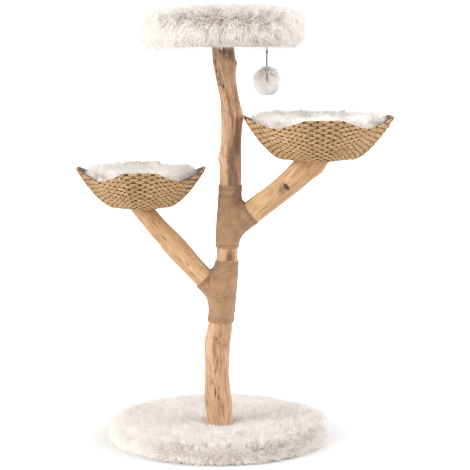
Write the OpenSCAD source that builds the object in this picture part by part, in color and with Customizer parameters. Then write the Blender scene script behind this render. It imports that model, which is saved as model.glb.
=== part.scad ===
// Cat tree: a natural-wood trunk with two limbs, two woven baskets with
// loose fur cushions, a petal-shaped plush perch, a hanging fur ball and
// a round plush base.
// Millimetres. Origin: centre of the base, on the floor. +Z up, -Y is the
// front, +X points towards the large basket.

/* [Base] */
// Diameter of the base board
base_d = 632; // [600:1:650]
// Thickness of the base board
base_board_t = 18; // [15:1:20]
// Thickness of the base padding at its raised rim
base_pad_t = 24; // [20:1:30]
// Number of felt pads under the board
pad_count = 8; // [6:1:10]

/* [Wood] */
// Height of the trunk's top above the floor
trunk_top = 1196; // [1190:1:1200]
// Height of the joint between the lower and middle logs
lower_joint_z = 535; // [525:1:540]
// Height of the joint between the middle and upper logs
upper_joint_z = 745; // [740:1:755]
// Corners round each log
log_sides = 18; // [14:1:20]

/* [Jute sleeves] */
// Thickness of the jute winding
jute_t = 3.5; // [3:0.1:4]
// Length of the winding along each limb, from the trunk's axis
jute_collar = 84; // [80:1:88]

/* [Baskets] */
// Small basket: distance from the centre to each raised corner
small_r = 195; // [190:1:200]
// Large basket: distance from the centre to each raised corner
large_r = 224; // [219:1:229]
// Thickness of the woven wall
weave_t = 8; // [7:0.5:9]
// Half the angle that each corner's narrow panel spans
corner_half = 14; // [12:1:16]

/* [Perch] */
// Radius of the plush perch at the middle of a petal
perch_r = 232; // [226:1:236]
// Number of petals
petals = 5; // [5:1:5]
// Height of the plush above the trunk's top
perch_h = 104; // [98:1:108]

/* [Toy] */
// Radius of the fur ball
ball_r = 37; // [34:1:39]
// Length of the string from its knot to the top of the ball
string_l = 44; // [40:1:50]

/* [Hidden] */
$fn = 64;

// Colours
c_wood = "burlywood";
c_board = "tan";
c_jute = "darkkhaki";
c_weave = "goldenrod";
c_fur = "linen";
c_cloth = "dimgray";
c_foam = "lightyellow";
c_steel = "silver";
c_zinc = "gainsboro";
c_string = "slategray";

// ---- Base stack, from the floor up
pad_t = 3.2;
pad_r = 22;
pad_ring_r = 240;
cloth_t = 0.8;
board_z = pad_t + cloth_t;
board_top = board_z + base_board_t;
board_r = base_d / 2;
plush_skin = 4;
plush_r = board_r + plush_skin + 2;
plush_tuck_r = board_r - 40;
trunk_hole_r = 43;
cover_pad_r = 36;
foam_gap = 0.5;

// ---- Fasteners: M8 cap bolts, M10 studs, threaded inserts, 5 mm screws
bolt_r = 4;
bolt_head_r = 6.5;
bolt_head_h = 8;
washer_r = 9;
washer_t = 1.6;
clear_r = 4.5;
counterbore_r = 10;
insert_r = 6;
insert_l = 20;
insert_bore_r = 4.05;
insert_play = 0.05;
bolt_ring_r = 20;
stud_r = 5;
stud_l = 80;
stud_insert_r = 8;
stud_insert_l = 42;
stud_bore_r = 5.05;
screw_r = 2.5;
screw_l = 40;
screw_head_r = 5;
screw_head_h = 3;
screw_washer_r = 8;
screw_washer_t = 1.2;
screw_ring_r = 12;
screw_shift = 8;
spacer_r = 32;

// ---- Logs. Each trunk station is [height, offset along X, radius]
trunk_stations = [
    [0, 1, 37], [60, 1, 38], [115, -4, 42], [140, -7, 40], [200, -9, 36],
    [270, -6, 38], [300, -4, 40], [345, 4, 37], [420, 8, 35], [500, 18, 33],
    [570, 24, 31], [640, 26, 31], [720, 31, 31.5], [800, 34, 31],
    [860, 31, 33.5], [910, 35, 29], [985, 37, 30], [1035, 32, 27],
    [1090, 22, 29], [1140, 17, 33], [1210, 10, 33]
];
trunk_x = [for (s = trunk_stations) [s[0], s[1]]];
trunk_r = [for (s = trunk_stations) [s[0], s[2]]];
ring_step = 30;

// Each limb station is [distance along, X, Y, Z, radius]; the limb starts on the trunk's axis
left_limb = [
    [0, 13, 0, 431, 32], [90, -49, 4, 497, 31], [140, -84, 7, 533, 31],
    [190, -122, 10, 574, 33.5], [240, -155, 13, 612, 31],
    [290, -190, 16, 650, 29.5], [350, -229, 20, 696, 28], [390, -253, 22, 726, 28]
];
right_limb = [
    [0, 30, 0, 644, 33], [80, 93, -6, 693, 34], [155, 152, -14, 739, 34],
    [225, 206, -22, 782, 34.5], [280, 246, -28, 818, 38],
    [330, 280, -33, 854, 39], [365, 303, -36, 879, 39]
];

// ---- Where the baskets stand on the limbs
small_pos = [-236, 20, 709];
small_floor_r = 84;
small_tip_h = 118;
small_dip_h = 85;
large_pos = [292, -34, 859];
large_floor_r = 106;
large_tip_h = 126;
large_dip_h = 97;
basket_turn = 2;
wall_curve = 1.55;
rim_steps = [0, corner_half, 22, 30, 38, 45, 52, 60, 68, 90 - corner_half];
wire_r = 2;
plate_t = 6;
cushion_gap = 6;
cushion_above_dip = 14;

// ---- Perch
perch_x = 11;
perch_board_t = 15;
perch_notch = 0.14;
perch_notch_angle = 270;
perch_sides = 60;
perch_board_r = 190;
perch_foam_r = 205;
perch_foam_h = 62;
perch_lip = 6;
perch_bolt_pocket_r = 40;
lining_t = 1;

// ---- Toy: a screw eye, a link and the string's own loop hang in each other
eye_pos = [140, -90, trunk_top - lining_t - 5];
eye_ring_r = 3.2;
eye_wire_r = 0.8;
eye_shank_r = 1.2;
eye_shank_l = 12;
loop_ring_r = 2.6;
// Distance from one ring's centre to the wire of the ring that hangs in it
hang = eye_ring_r - 2 * eye_wire_r - 0.1;
link_pos = eye_pos - [0, 0, hang + eye_ring_r];
loop_pos = link_pos - [0, 0, hang + loop_ring_r];
knot_r = 3.0;
knot_pos = loop_pos - [0, 0, loop_ring_r + knot_r - 0.4];
string_r = 1.8;
string_bite = 0.8;
string_top = knot_pos[2] - knot_r + string_bite;
// The string runs on into the ball, to its middle
string_inside = ball_r - 2;
// Points of the string, from the ball's middle up to its knot
string_points = [for (i = [10:-1:0])
    [eye_pos[0], eye_pos[1], string_top - (string_l + string_inside) * i / 10]];

// ==== Shapes shared by several pieces

// A closed solid through rings with equal numbers of points. The rings run
// anticlockwise about the direction in which they advance.
module loft(rings, closed = false) {
    n = len(rings[0]);
    m = len(rings);
    last = closed ? m - 1 : m - 2;
    sides = [
        for (j = [0:last], i = [0:n - 1])
            let (a = j * n + i, b = ((j + 1) % m) * n + i, c = ((j + 1) % m) * n + (i + 1) % n,
                 d = j * n + (i + 1) % n)
            each [[a, b, c], [a, c, d]]
    ];
    ends = closed ? [] : [[for (i = [0:n - 1]) i], [for (i = [n - 1:-1:0]) (m - 1) * n + i]];
    polyhedron(points = [for (r = rings) each r], faces = concat(ends, sides));
}

function unit(v) = v / norm(v);

// A round section of a tube that advances along dir
function tube_ring(centre, dir, r, sides) =
    let (u = unit(cross([0, 1, 0], dir)), w = unit(cross(dir, u)))
    [for (i = [0:sides - 1]) let (a = 360 * i / sides) centre + r * (cos(a) * u + sin(a) * w)];

// Direction of travel at one point of a list
function heading(points, i) =
    points[min(i + 1, len(points) - 1)] - points[max(i - 1, 0)];

module tube(points, r, sides = 8) {
    loft([for (i = [0:len(points) - 1]) tube_ring(points[i], heading(points, i), r, sides)]);
}

// A thin rod that follows a closed, mostly level path
module wire_loop(points, r, sides = 6) {
    n = len(points);
    loft([
        for (i = [0:n - 1])
            let (dir = points[(i + 1) % n] - points[(i + n - 1) % n],
                 out = unit(cross(dir, [0, 0, 1])))
            [for (k = [0:sides - 1])
                let (a = 360 * k / sides) points[i] + r * (cos(a) * out + sin(a) * unit(cross(dir, out)))]
    ], closed = true);
}

// Small ripples round a log, so that it isn't a turned cylinder
function bark(a, s) = 1 + 0.025 * sin(3 * a + 0.9 * s) + 0.015 * sin(5 * a - 1.3 * s);

function trunk_centre(z) = [lookup(z, trunk_x), 3 * sin(0.6 * z), z];

// One level ring of the trunk, grow millimetres outside the wood
function trunk_ring(z, grow) = [
    for (i = [0:log_sides - 1])
        let (a = 360 * i / log_sides, r = lookup(z, trunk_r) * bark(a, z) + grow)
        trunk_centre(z) + r * [cos(a), sin(a), 0]
];

module trunk_log(z0, z1, grow = 0) {
    steps = ceil((z1 - z0) / ring_step);
    loft([for (i = [0:steps]) trunk_ring(z0 + (z1 - z0) * i / steps, grow)]);
}

function limb_at(limb, s) = [for (k = [1:3]) lookup(s, [for (p = limb) [p[0], p[k]]])];
function limb_radius(limb, s) = lookup(s, [for (p = limb) [p[0], p[4]]]);
function limb_dir(limb, s) = unit(limb_at(limb, s + 12) - limb_at(limb, max(s - 12, 0)));
function limb_length(limb) = limb[len(limb) - 1][0];

// A limb from s0 to s1 along it, grow millimetres outside the wood
module limb_log(limb, s0, s1, grow = 0) {
    steps = ceil((s1 - s0) / ring_step);
    loft([
        for (j = [0:steps])
            let (s = s0 + (s1 - s0) * j / steps, c = limb_at(limb, s), d = limb_dir(limb, s),
                 u = unit(cross([0, 1, 0], d)), w = cross(d, u))
            [for (i = [0:log_sides - 1])
                let (a = 360 * i / log_sides, r = limb_radius(limb, s) * bark(a, s) + grow)
                c + r * (cos(a) * u + sin(a) * w)]
    ]);
}

// Turns and moves a child that points along +Z so that it points along a limb's start
module along_limb(limb) {
    c = limb_at(limb, 0);
    d = unit(limb_at(limb, 80) - c);
    translate(c)
        rotate([0, acos(d[2]), atan2(d[1], d[0])])
            children();
}

module ring_of(count, r, start = 90) {
    for (i = [0:count - 1])
        rotate([0, 0, start + 360 * i / count])
            translate([r, 0, 0])
                children();
}

// ==== Fasteners

module cap_bolt(length) {
    color(c_steel)
        difference() {
            union() {
                translate([0, 0, -bolt_head_h]) cylinder(r = bolt_head_r, h = bolt_head_h);
                cylinder(r = bolt_r, h = length);
            }
            translate([0, 0, -bolt_head_h - 1]) cylinder(r = 3.4, h = 5, $fn = 6);
        }
}

module ring(outer, inner, h) {
    difference() {
        cylinder(r = outer, h = h);
        translate([0, 0, -1]) cylinder(r = inner, h = h + 2);
    }
}

module wood_screw() {
    color(c_zinc)
        difference() {
            union() {
                cylinder(r = screw_head_r, h = screw_head_h);
                translate([0, 0, -screw_l + 6]) cylinder(r = screw_r, h = screw_l - 6);
                translate([0, 0, -screw_l]) cylinder(r1 = 0.4, r2 = screw_r, h = 6);
            }
            for (a = [0, 90])
                rotate([0, 0, a])
                    translate([-3, -0.6, screw_head_h - 1.5]) cube([6, 1.2, 2]);
        }
}

// ==== Base

module floor_pads() {
    color(c_cloth)
        ring_of(pad_count, pad_ring_r) cylinder(r = pad_r, h = pad_t);
}

module bolt_cover_pad() {
    color(c_cloth) cylinder(r = cover_pad_r, h = board_z);
}

module base_dust_cloth() {
    color(c_cloth)
        translate([0, 0, pad_t]) ring(plush_tuck_r - 1, trunk_hole_r, cloth_t);
}

bolt_pocket = 10.4;

module base_board() {
    color(c_board)
        difference() {
            translate([0, 0, board_z]) cylinder(r = board_r, h = base_board_t, $fn = 128);
            translate([trunk_centre(board_top)[0], 0, 0])
                ring_of(3, bolt_ring_r) {
                    cylinder(r = clear_r, h = board_top + 1);
                    translate([0, 0, board_z - 1]) cylinder(r = counterbore_r, h = bolt_pocket + 1);
                }
        }
}

// Height of the padding's top at a distance from the centre: low round the trunk, high at the rim
function pad_height(r) =
    let (t = min(max((r - 90) / 150, 0), 1))
    board_top + base_pad_t * (0.62 + 0.38 * t * t * (3 - 2 * t));

pad_edge = 26;

// Outline of the padding in the plane of radius and height, grown by g
function pad_outline(g) = concat(
    [for (r = [trunk_hole_r + 2:12:board_r - pad_edge]) [r, pad_height(r) + g]],
    [for (a = [80:-10:0])
        [board_r - pad_edge + (pad_edge + g) * cos(a),
         pad_height(board_r) - pad_edge + (pad_edge + g) * sin(a)]]
);

module base_foam() {
    color(c_foam)
        rotate_extrude($fn = 128)
            polygon(concat(pad_outline(-foam_gap),
                [[board_r - foam_gap, board_top + foam_gap],
                 [trunk_hole_r + 2, board_top + foam_gap]]));
}

module base_plush() {
    color(c_fur)
        rotate_extrude($fn = 128)
            polygon(concat(
                [for (p = pad_outline(plush_skin)) p],
                [[board_r + plush_skin, pad_t + 1], [board_r + 1, pad_t],
                 [plush_tuck_r, pad_t], [plush_tuck_r, board_z - 0.1],
                 [board_r + 0.3, board_z - 0.1]],
                [for (i = [len(pad_outline(0)) - 1:-1:0]) pad_outline(0.3)[i]]
            ));
}

foot_x = trunk_centre(board_top)[0];
base_washer_z = board_z + bolt_pocket - washer_t;

module base_bolts() {
    translate([foot_x, 0, base_washer_z])
        ring_of(3, bolt_ring_r) cap_bolt(board_top + insert_l - 2 - base_washer_z);
}

module base_washers() {
    color(c_zinc)
        translate([foot_x, 0, base_washer_z])
            ring_of(3, bolt_ring_r) ring(washer_r, clear_r, washer_t);
}

module inserts(count, r, bore, length) {
    ring_of(count, bolt_ring_r) ring(r, bore, length);
}

module trunk_foot_inserts() {
    color(c_steel)
        translate([foot_x, 0, board_top]) inserts(3, insert_r, insert_bore_r, insert_l);
}

// ==== Trunk

module insert_hole(r, length) {
    cylinder(r = r + insert_play, h = length);
}

joint_heights = [lower_joint_z, upper_joint_z];

module stud_holes(z) {
    translate([lookup(z, trunk_x), 0, z - stud_insert_l])
        insert_hole(stud_insert_r, 2 * stud_insert_l);
}

branch_bolt_back = 26;
branch_bolt_l = 109;

// Hole for a limb's bolt, through the trunk, with a pocket for its head
module limb_bolt_hole(limb) {
    along_limb(limb) {
        translate([0, 0, -branch_bolt_back]) cylinder(r = clear_r, h = 100);
        translate([0, 0, -80]) cylinder(r = counterbore_r, h = 80 - branch_bolt_back);
    }
}

module trunk_lower() {
    color(c_wood)
        difference() {
            trunk_log(board_top, lower_joint_z);
            translate([foot_x, 0, board_top - 1])
                ring_of(3, bolt_ring_r) insert_hole(insert_r, insert_l + 1);
            stud_holes(lower_joint_z);
            limb_bolt_hole(left_limb);
        }
}

module trunk_middle() {
    color(c_wood)
        difference() {
            trunk_log(lower_joint_z, upper_joint_z);
            stud_holes(lower_joint_z);
            stud_holes(upper_joint_z);
            limb_bolt_hole(right_limb);
        }
}

top_x = trunk_centre(trunk_top)[0];

module trunk_upper() {
    color(c_wood)
        difference() {
            trunk_log(upper_joint_z, trunk_top);
            stud_holes(upper_joint_z);
            translate([top_x, 0, trunk_top - insert_l])
                ring_of(3, bolt_ring_r) insert_hole(insert_r, insert_l + 1);
        }
}

module trunk_studs() {
    color(c_steel)
        for (z = joint_heights)
            translate([lookup(z, trunk_x), 0, z - stud_l / 2]) cylinder(r = stud_r, h = stud_l);
}

module trunk_stud_inserts() {
    color(c_zinc)
        for (z = joint_heights, side = [-1, 0])
            translate([lookup(z, trunk_x), 0, z + side * stud_insert_l])
                ring(stud_insert_r, stud_bore_r, stud_insert_l - 0.05);
}

module trunk_top_inserts() {
    color(c_steel)
        translate([top_x, 0, trunk_top - insert_l]) inserts(3, insert_r, insert_bore_r, insert_l);
}

// ==== Limbs

branch_insert_at = 56;
branch_insert_l = 28;

// A limb, coped to the trunk and cut level under its basket
module branch(limb, z0, z1, top) {
    color(c_wood)
        difference() {
            limb_log(limb, 0, limb_length(limb));
            trunk_log(z0, z1, 0.2);
            translate([-500, -500, top]) cube([1000, 1000, 200]);
            along_limb(limb) {
                cylinder(r = clear_r, h = branch_insert_at + branch_insert_l);
                translate([0, 0, branch_insert_at]) insert_hole(insert_r, branch_insert_l);
            }
            children();
        }
}

module screw_bores() {
    translate([0, 0, -screw_l]) cylinder(r = screw_r + insert_play, h = screw_l + 1);
}

module left_branch() {
    branch(left_limb, board_top, lower_joint_z, small_pos[2]) on_small() screw_pattern(screw_shift) screw_bores();
}

module right_branch() {
    branch(right_limb, lower_joint_z, upper_joint_z, large_pos[2]) on_large() screw_pattern(-screw_shift) screw_bores();
}

module branch_bolts() {
    for (limb = [left_limb, right_limb])
        along_limb(limb)
            translate([0, 0, -branch_bolt_back - washer_t])
                cap_bolt(branch_bolt_l);
}

module branch_washers() {
    color(c_zinc)
        for (limb = [left_limb, right_limb])
            along_limb(limb)
                translate([0, 0, -branch_bolt_back - washer_t]) ring(washer_r, clear_r, washer_t);
}

module branch_inserts() {
    color(c_steel)
        for (limb = [left_limb, right_limb])
            along_limb(limb)
                translate([0, 0, branch_insert_at]) ring(insert_r, insert_bore_r, branch_insert_l);
}

// Jute wound round the trunk from z0 to z1 and along the start of a limb
module jute_sleeve(limb, z0, z1) {
    color(c_jute)
        difference() {
            union() {
                trunk_log(z0, z1, jute_t);
                limb_log(limb, 0, jute_collar, jute_t);
            }
            trunk_log(board_top, lower_joint_z, 0.2);
            trunk_log(lower_joint_z, upper_joint_z, 0.2);
            trunk_log(upper_joint_z, trunk_top, 0.2);
            limb_log(limb, 0, limb_length(limb), 0.2);
        }
}

module lower_jute_sleeve() {
    jute_sleeve(left_limb, 360, 550);
}

module upper_jute_sleeve() {
    jute_sleeve(right_limb, 588, 777);
}

// ==== Baskets: eight-sided, with four narrow raised corner panels

// Angle from the nearest corner direction, -45 to 45
function from_corner(a) = abs(((a + 45) % 90 + 90) % 90 - 45);

// Distance to the eight-sided outline whose corner panels are r away
function outline_r(a, r) =
    let (q = from_corner(a), vertex = r / cos(corner_half))
    q < corner_half ? r / cos(q) : vertex * cos(45 - corner_half) / cos(45 - q);

// Height of the rim at an angle: full at the corners, dipping between them
function rim_h(a, tip, dip) =
    let (q = max(from_corner(a) - corner_half, 0))
    dip + (tip - dip) * pow(max(1 - q / (45 - corner_half), 0), 1.7);

// Point of the wall at an angle: t 0 at the floor's edge, 1 at the rim; d is the depth inwards
// from the outer face, square to the wall
function wall_point(a, t, r, floor_r, tip, dip, d) =
    let (across = outline_r(a, r) - outline_r(a, floor_r),
         h = rim_h(a, tip, dip),
         up = h * wall_curve * pow(t, wall_curve - 1),
         slope = norm([across, up]),
         rho = outline_r(a, floor_r) + across * t - d * up / slope)
    [rho * cos(a), rho * sin(a), h * pow(t, wall_curve) + d * across / slope];

rim_angles = [for (quarter = [0:3], s = rim_steps) 90 * quarter + s];
wall_steps = [0, 0.12, 0.3, 0.5, 0.7, 0.86, 1];

function wall_ring(t, r, floor_r, tip, dip, d) =
    [for (a = rim_angles) wall_point(a, t, r, floor_r, tip, dip, d)];

// Edge of the round hole in the woven floor, where the spacer fits
function floor_ring(z) = [for (a = rim_angles) [(spacer_r + 0.6) * cos(a), (spacer_r + 0.6) * sin(a), z]];

module basket_weave(r, floor_r, tip, dip) {
    n = len(wall_steps);
    color(c_weave)
        loft(concat(
            [floor_ring(0)],
            [for (t = wall_steps) wall_ring(t, r, floor_r, tip, dip, 0)],
            [for (i = [n - 1:-1:0]) wall_ring(wall_steps[i], r, floor_r, tip, dip, weave_t)],
            [floor_ring(weave_t)]
        ), closed = true);
}

frame_steps = [0.1, 0.25, 0.45, 0.65, 0.82, 0.93];
frame_depth = weave_t + 2.8;

// Rim wire, eight ribs and the ring round the floor, against the wall's inner face
module basket_frame(r, floor_r, tip, dip) {
    color(c_steel) {
        for (t = [frame_steps[0], frame_steps[5]])
            wire_loop(wall_ring(t, r, floor_r, tip, dip, frame_depth), wire_r);
        for (quarter = [0:3], side = [-corner_half, corner_half])
            tube([for (t = frame_steps) wall_point(90 * quarter + side, t, r, floor_r, tip, dip, frame_depth)],
                wire_r * 0.8, 6);
    }
}

module screw_pattern(shift) {
    translate([shift, 0, 0]) ring_of(3, screw_ring_r) children();
}

module drilled_disc(r, h, shift) {
    difference() {
        cylinder(r = r, h = h);
        screw_pattern(shift) translate([0, 0, -1]) cylinder(r = screw_r + 0.3, h = h + 2);
    }
}

module basket_plate(r, shift) {
    color(c_board) translate([0, 0, weave_t]) drilled_disc(r, plate_t, shift);
}

// Disc that fills the hole in the woven floor, between the limb and the plate
module basket_spacer(shift) {
    color(c_board) drilled_disc(spacer_r, weave_t, shift);
}

plate_top = weave_t + plate_t;

module basket_screws(shift) {
    translate([0, 0, plate_top + screw_washer_t]) screw_pattern(shift) wood_screw();
}

module basket_washers(shift) {
    color(c_zinc)
        translate([0, 0, plate_top])
            screw_pattern(shift) ring(screw_washer_r * 0.75, screw_r + 0.3, screw_washer_t);
}

// Distance from the axis to the cushion's side at a height
function cushion_r(a, z, r, floor_r, tip, dip) =
    let (d = weave_t + cushion_gap,
         t = pow(min(max((z - 0.8 * d) / rim_h(a, tip, dip), 0.01), 1), 1 / wall_curve),
         p = wall_point(a, t, r, floor_r, tip, dip, d))
    norm([p[0], p[1]]);

// Flat-topped fur cushion. Each entry is [share of the height, share of the radius]
cushion_profile = [
    [0, 0.92], [0.05, 0.97], [0.25, 1], [0.5, 1], [0.72, 0.99], [0.86, 0.96], [0.95, 0.9], [1, 0.8]
];

module basket_cushion(r, floor_r, tip, dip) {
    z0 = plate_top + screw_washer_t + screw_head_h + 1;
    top = dip + cushion_above_dip;
    color(c_fur)
        loft([
            for (p = cushion_profile)
                let (z = z0 + (top - z0) * p[0])
                [for (a = rim_angles)
                    let (rho = p[1] * cushion_r(a, z, r, floor_r, tip, dip))
                    [rho * cos(a), rho * sin(a), z]]
        ]);
}

module on_small() {
    translate(small_pos) rotate([0, 0, basket_turn]) children();
}

module on_large() {
    translate(large_pos) rotate([0, 0, basket_turn]) children();
}

module small_basket_weave() {
    on_small() basket_weave(small_r, small_floor_r, small_tip_h, small_dip_h);
}
module small_basket_frame() { on_small() basket_frame(small_r, small_floor_r, small_tip_h, small_dip_h); }
module small_basket_plate() { on_small() basket_plate(small_floor_r - 22, screw_shift); }
module small_basket_spacer() { on_small() basket_spacer(screw_shift); }
module small_basket_screws() { on_small() basket_screws(screw_shift); }
module small_basket_washers() { on_small() basket_washers(screw_shift); }
module small_basket_cushion() { on_small() basket_cushion(small_r, small_floor_r, small_tip_h, small_dip_h); }

module large_basket_weave() {
    on_large() basket_weave(large_r, large_floor_r, large_tip_h, large_dip_h);
}
module large_basket_frame() { on_large() basket_frame(large_r, large_floor_r, large_tip_h, large_dip_h); }
module large_basket_plate() { on_large() basket_plate(large_floor_r - 26, -screw_shift); }
module large_basket_spacer() { on_large() basket_spacer(-screw_shift); }
module large_basket_screws() { on_large() basket_screws(-screw_shift); }
module large_basket_washers() { on_large() basket_washers(-screw_shift); }
module large_basket_cushion() { on_large() basket_cushion(large_r, large_floor_r, large_tip_h, large_dip_h); }

// ==== Perch

// Distance to the petalled outline, 1 at the middle of each petal
function petal(a) =
    1 - perch_notch * (1 - pow(abs(sin(petals / 2 * (a - perch_notch_angle))), 0.7));

// Petal-shaped plate: the outline is a polygon with points every few degrees
module petal_plate(r, h) {
    linear_extrude(height = h)
        polygon([for (i = [0:perch_sides - 1])
            let (a = perch_notch_angle + 360 * i / perch_sides) r * petal(a) * [cos(a), sin(a)]]);
}

perch_seat_z = trunk_top + perch_board_t;

module perch_board() {
    color(c_board)
        translate([perch_x, 0, trunk_top])
            difference() {
                petal_plate(perch_board_r, perch_board_t);
                translate([top_x - perch_x, 0, -1])
                    ring_of(3, bolt_ring_r) cylinder(r = clear_r, h = perch_board_t + 2);
                translate([eye_pos[0] - perch_x, eye_pos[1], -1])
                    cylinder(r = eye_shank_r + insert_play, h = eye_shank_l + 1.5);
            }
}

module perch_lining() {
    color(c_cloth)
        translate([perch_x, 0, trunk_top - lining_t])
            difference() {
                petal_plate(perch_board_r - 12, lining_t - 0.05);
                translate([top_x - perch_x, 0, -1]) cylinder(r = trunk_hole_r - 4, h = 3);
                translate([eye_pos[0] - perch_x, eye_pos[1], -1]) cylinder(r = 6, h = 3);
            }
}

module perch_foam() {
    color(c_foam)
        translate([perch_x, 0, perch_seat_z])
            difference() {
                petal_plate(perch_foam_r, perch_foam_h);
                translate([top_x - perch_x, 0, -1]) cylinder(r = perch_bolt_pocket_r, h = 13);
            }
}

// Rings of the plush: [share of the radius, height above the trunk's top].
// The first rings are the outside, from the lip under the board up and over the top;
// the rest are the inside, over the foam and down past the board.
function plush_outside() = [
    for (a = [-70:20:70]) [0.86 + 0.14 * cos(a), 42 + (a < 0 ? 48 : perch_h - 62) * sin(a)]
];

module perch_plush() {
    foam_share = (perch_foam_r + 1) / perch_r;
    board_share = (perch_board_r - 10) / perch_r;
    foam_top = perch_board_t + perch_foam_h + 1;
    profile = concat(
        [[board_share, -1], [board_share, -perch_lip], [0.86, -perch_lip]],
        plush_outside(),
        [[0.7, perch_h - 8], [0.45, perch_h - 2], [0.2, perch_h]],
        [[0.2, foam_top], [foam_share, foam_top], [foam_share, perch_board_t - 1],
         [(perch_board_r + 1) / perch_r, perch_board_t - 1], [(perch_board_r + 1) / perch_r, -1]]
    );
    outer_count = 3 + len(plush_outside()) + 3;
    rings = [
        for (p = profile)
            [for (i = [0:perch_sides - 1])
                let (a = perch_notch_angle + 360 * i / perch_sides)
                [perch_r * p[0] * petal(a) * cos(a), perch_r * p[0] * petal(a) * sin(a), p[1]]]
    ];
    color(c_fur)
        translate([perch_x, 0, trunk_top])
            loft_cover(rings, outer_count);
}

// A cover: the outer rings rise to a closed top, the inner rings start under it and go down,
// and the two meet along the lip
module loft_cover(rings, outer_count) {
    n = len(rings[0]);
    m = len(rings);
    sides = [
        for (j = [0:m - 1], i = [0:n - 1])
            if (j != outer_count - 1)
                let (j2 = (j + 1) % m, k = (i + 1) % n)
                each [[j * n + i, j2 * n + i, j2 * n + k], [j * n + i, j2 * n + k, j * n + k]]
    ];
    top = [for (i = [n - 1:-1:0]) (outer_count - 1) * n + i];
    ceiling = [for (i = [0:n - 1]) outer_count * n + i];
    polyhedron(points = [for (r = rings) each r], faces = concat([top, ceiling], sides));
}

perch_bolt_l = perch_board_t + insert_l - 2;

module perch_bolts() {
    translate([top_x, 0, perch_seat_z + washer_t])
        ring_of(3, bolt_ring_r) mirror([0, 0, 1]) cap_bolt(perch_bolt_l + washer_t);
}

module perch_washers() {
    color(c_zinc)
        translate([top_x, 0, perch_seat_z]) ring_of(3, bolt_ring_r) ring(washer_r, clear_r, washer_t);
}

// ==== Hanging fur ball

// A wire ring that stands on its edge; turn 0 faces the front, 90 faces the side
module wire_ring(r, turn) {
    rotate([90, 0, turn]) rotate_extrude() translate([r, 0]) circle(r = eye_wire_r);
}

module toy_eye() {
    color(c_steel)
        translate(eye_pos) {
            wire_ring(eye_ring_r, 0);
            translate([0, 0, eye_ring_r]) cylinder(r = eye_shank_r, h = trunk_top + eye_shank_l - eye_pos[2] - eye_ring_r);
        }
}

module toy_link() {
    color(c_steel) translate(link_pos) wire_ring(eye_ring_r, 90);
}

module toy_knot() {
    color(c_string) {
        translate(loop_pos) wire_ring(loop_ring_r, 0);
        translate(knot_pos) sphere(r = knot_r);
    }
}

module toy_string() {
    color(c_string) tube(string_points, string_r, 8);
}

module toy_ball() {
    color(c_fur)
        translate([eye_pos[0], eye_pos[1], string_top - string_l - ball_r]) sphere(r = ball_r);
}

// ==== Assembly

floor_pads();
bolt_cover_pad();
base_dust_cloth();
base_board();
base_foam();
base_plush();
base_bolts();
base_washers();
trunk_foot_inserts();
trunk_lower();
trunk_middle();
trunk_upper();
trunk_studs();
trunk_stud_inserts();
trunk_top_inserts();
left_branch();
right_branch();
branch_bolts();
branch_washers();
branch_inserts();
lower_jute_sleeve();
upper_jute_sleeve();
small_basket_weave();
small_basket_frame();
small_basket_plate();
small_basket_spacer();
small_basket_screws();
small_basket_washers();
small_basket_cushion();
large_basket_weave();
large_basket_frame();
large_basket_plate();
large_basket_spacer();
large_basket_screws();
large_basket_washers();
large_basket_cushion();
perch_board();
perch_foam();
perch_plush();
perch_lining();
perch_bolts();
perch_washers();
toy_eye();
toy_link();
toy_knot();
toy_string();
toy_ball();
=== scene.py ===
"""Looks of the cat tree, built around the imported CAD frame. Lengths are in metres."""

import itertools
import math

import bmesh
import bpy
import numpy as np
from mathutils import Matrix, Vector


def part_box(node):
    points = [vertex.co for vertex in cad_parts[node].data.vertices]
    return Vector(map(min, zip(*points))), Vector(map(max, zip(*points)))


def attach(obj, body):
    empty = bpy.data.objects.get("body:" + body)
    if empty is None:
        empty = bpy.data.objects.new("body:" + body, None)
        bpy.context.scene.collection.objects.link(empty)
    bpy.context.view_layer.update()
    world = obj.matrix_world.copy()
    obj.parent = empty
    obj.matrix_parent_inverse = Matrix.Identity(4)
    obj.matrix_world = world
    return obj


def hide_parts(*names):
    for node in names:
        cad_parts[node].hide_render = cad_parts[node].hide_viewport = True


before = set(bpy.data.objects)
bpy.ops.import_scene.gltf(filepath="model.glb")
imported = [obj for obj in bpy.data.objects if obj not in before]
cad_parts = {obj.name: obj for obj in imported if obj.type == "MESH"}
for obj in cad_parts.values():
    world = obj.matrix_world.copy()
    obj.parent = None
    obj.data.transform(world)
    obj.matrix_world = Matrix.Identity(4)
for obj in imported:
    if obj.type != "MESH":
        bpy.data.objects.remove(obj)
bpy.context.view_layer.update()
MM = 0.001


# ---------------------------------------------------------------- numbers and noise


def lattice(ix, iy, iz, seed):
    """A repeatable value from 0 to 1 at each point of a whole-number lattice."""
    mask = np.uint64(0xFFFFFFFF)
    n = ix.astype(np.int64) * 374761393 + iy.astype(np.int64) * 668265263
    n = (n + iz.astype(np.int64) * 1440662683 + seed * 974634777).astype(np.uint64) & mask
    n = ((n ^ (n >> np.uint64(13))) * np.uint64(1274126177)) & mask
    n = ((n ^ (n >> np.uint64(15))) * np.uint64(2246822519)) & mask
    return (n ^ (n >> np.uint64(16))).astype(float) / 4294967295.0


def noise(p, scale, seed=0):
    """Smooth noise from -1 to 1 at points p; scale is the size of its features."""
    q = np.asarray(p, float) / scale
    i = np.floor(q).astype(np.int64)
    f = q - i
    f = f * f * (3 - 2 * f)
    total = 0
    for dx, dy, dz in itertools.product((0, 1), repeat=3):
        share = (
            (f[..., 0] if dx else 1 - f[..., 0])
            * (f[..., 1] if dy else 1 - f[..., 1])
            * (f[..., 2] if dz else 1 - f[..., 2])
        )
        total = total + share * lattice(i[..., 0] + dx, i[..., 1] + dy, i[..., 2] + dz, seed)
    return total * 2 - 1


def noise_vector(p, scale, seed):
    return np.stack([noise(p, scale, seed + k) for k in range(3)], axis=-1)


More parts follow.
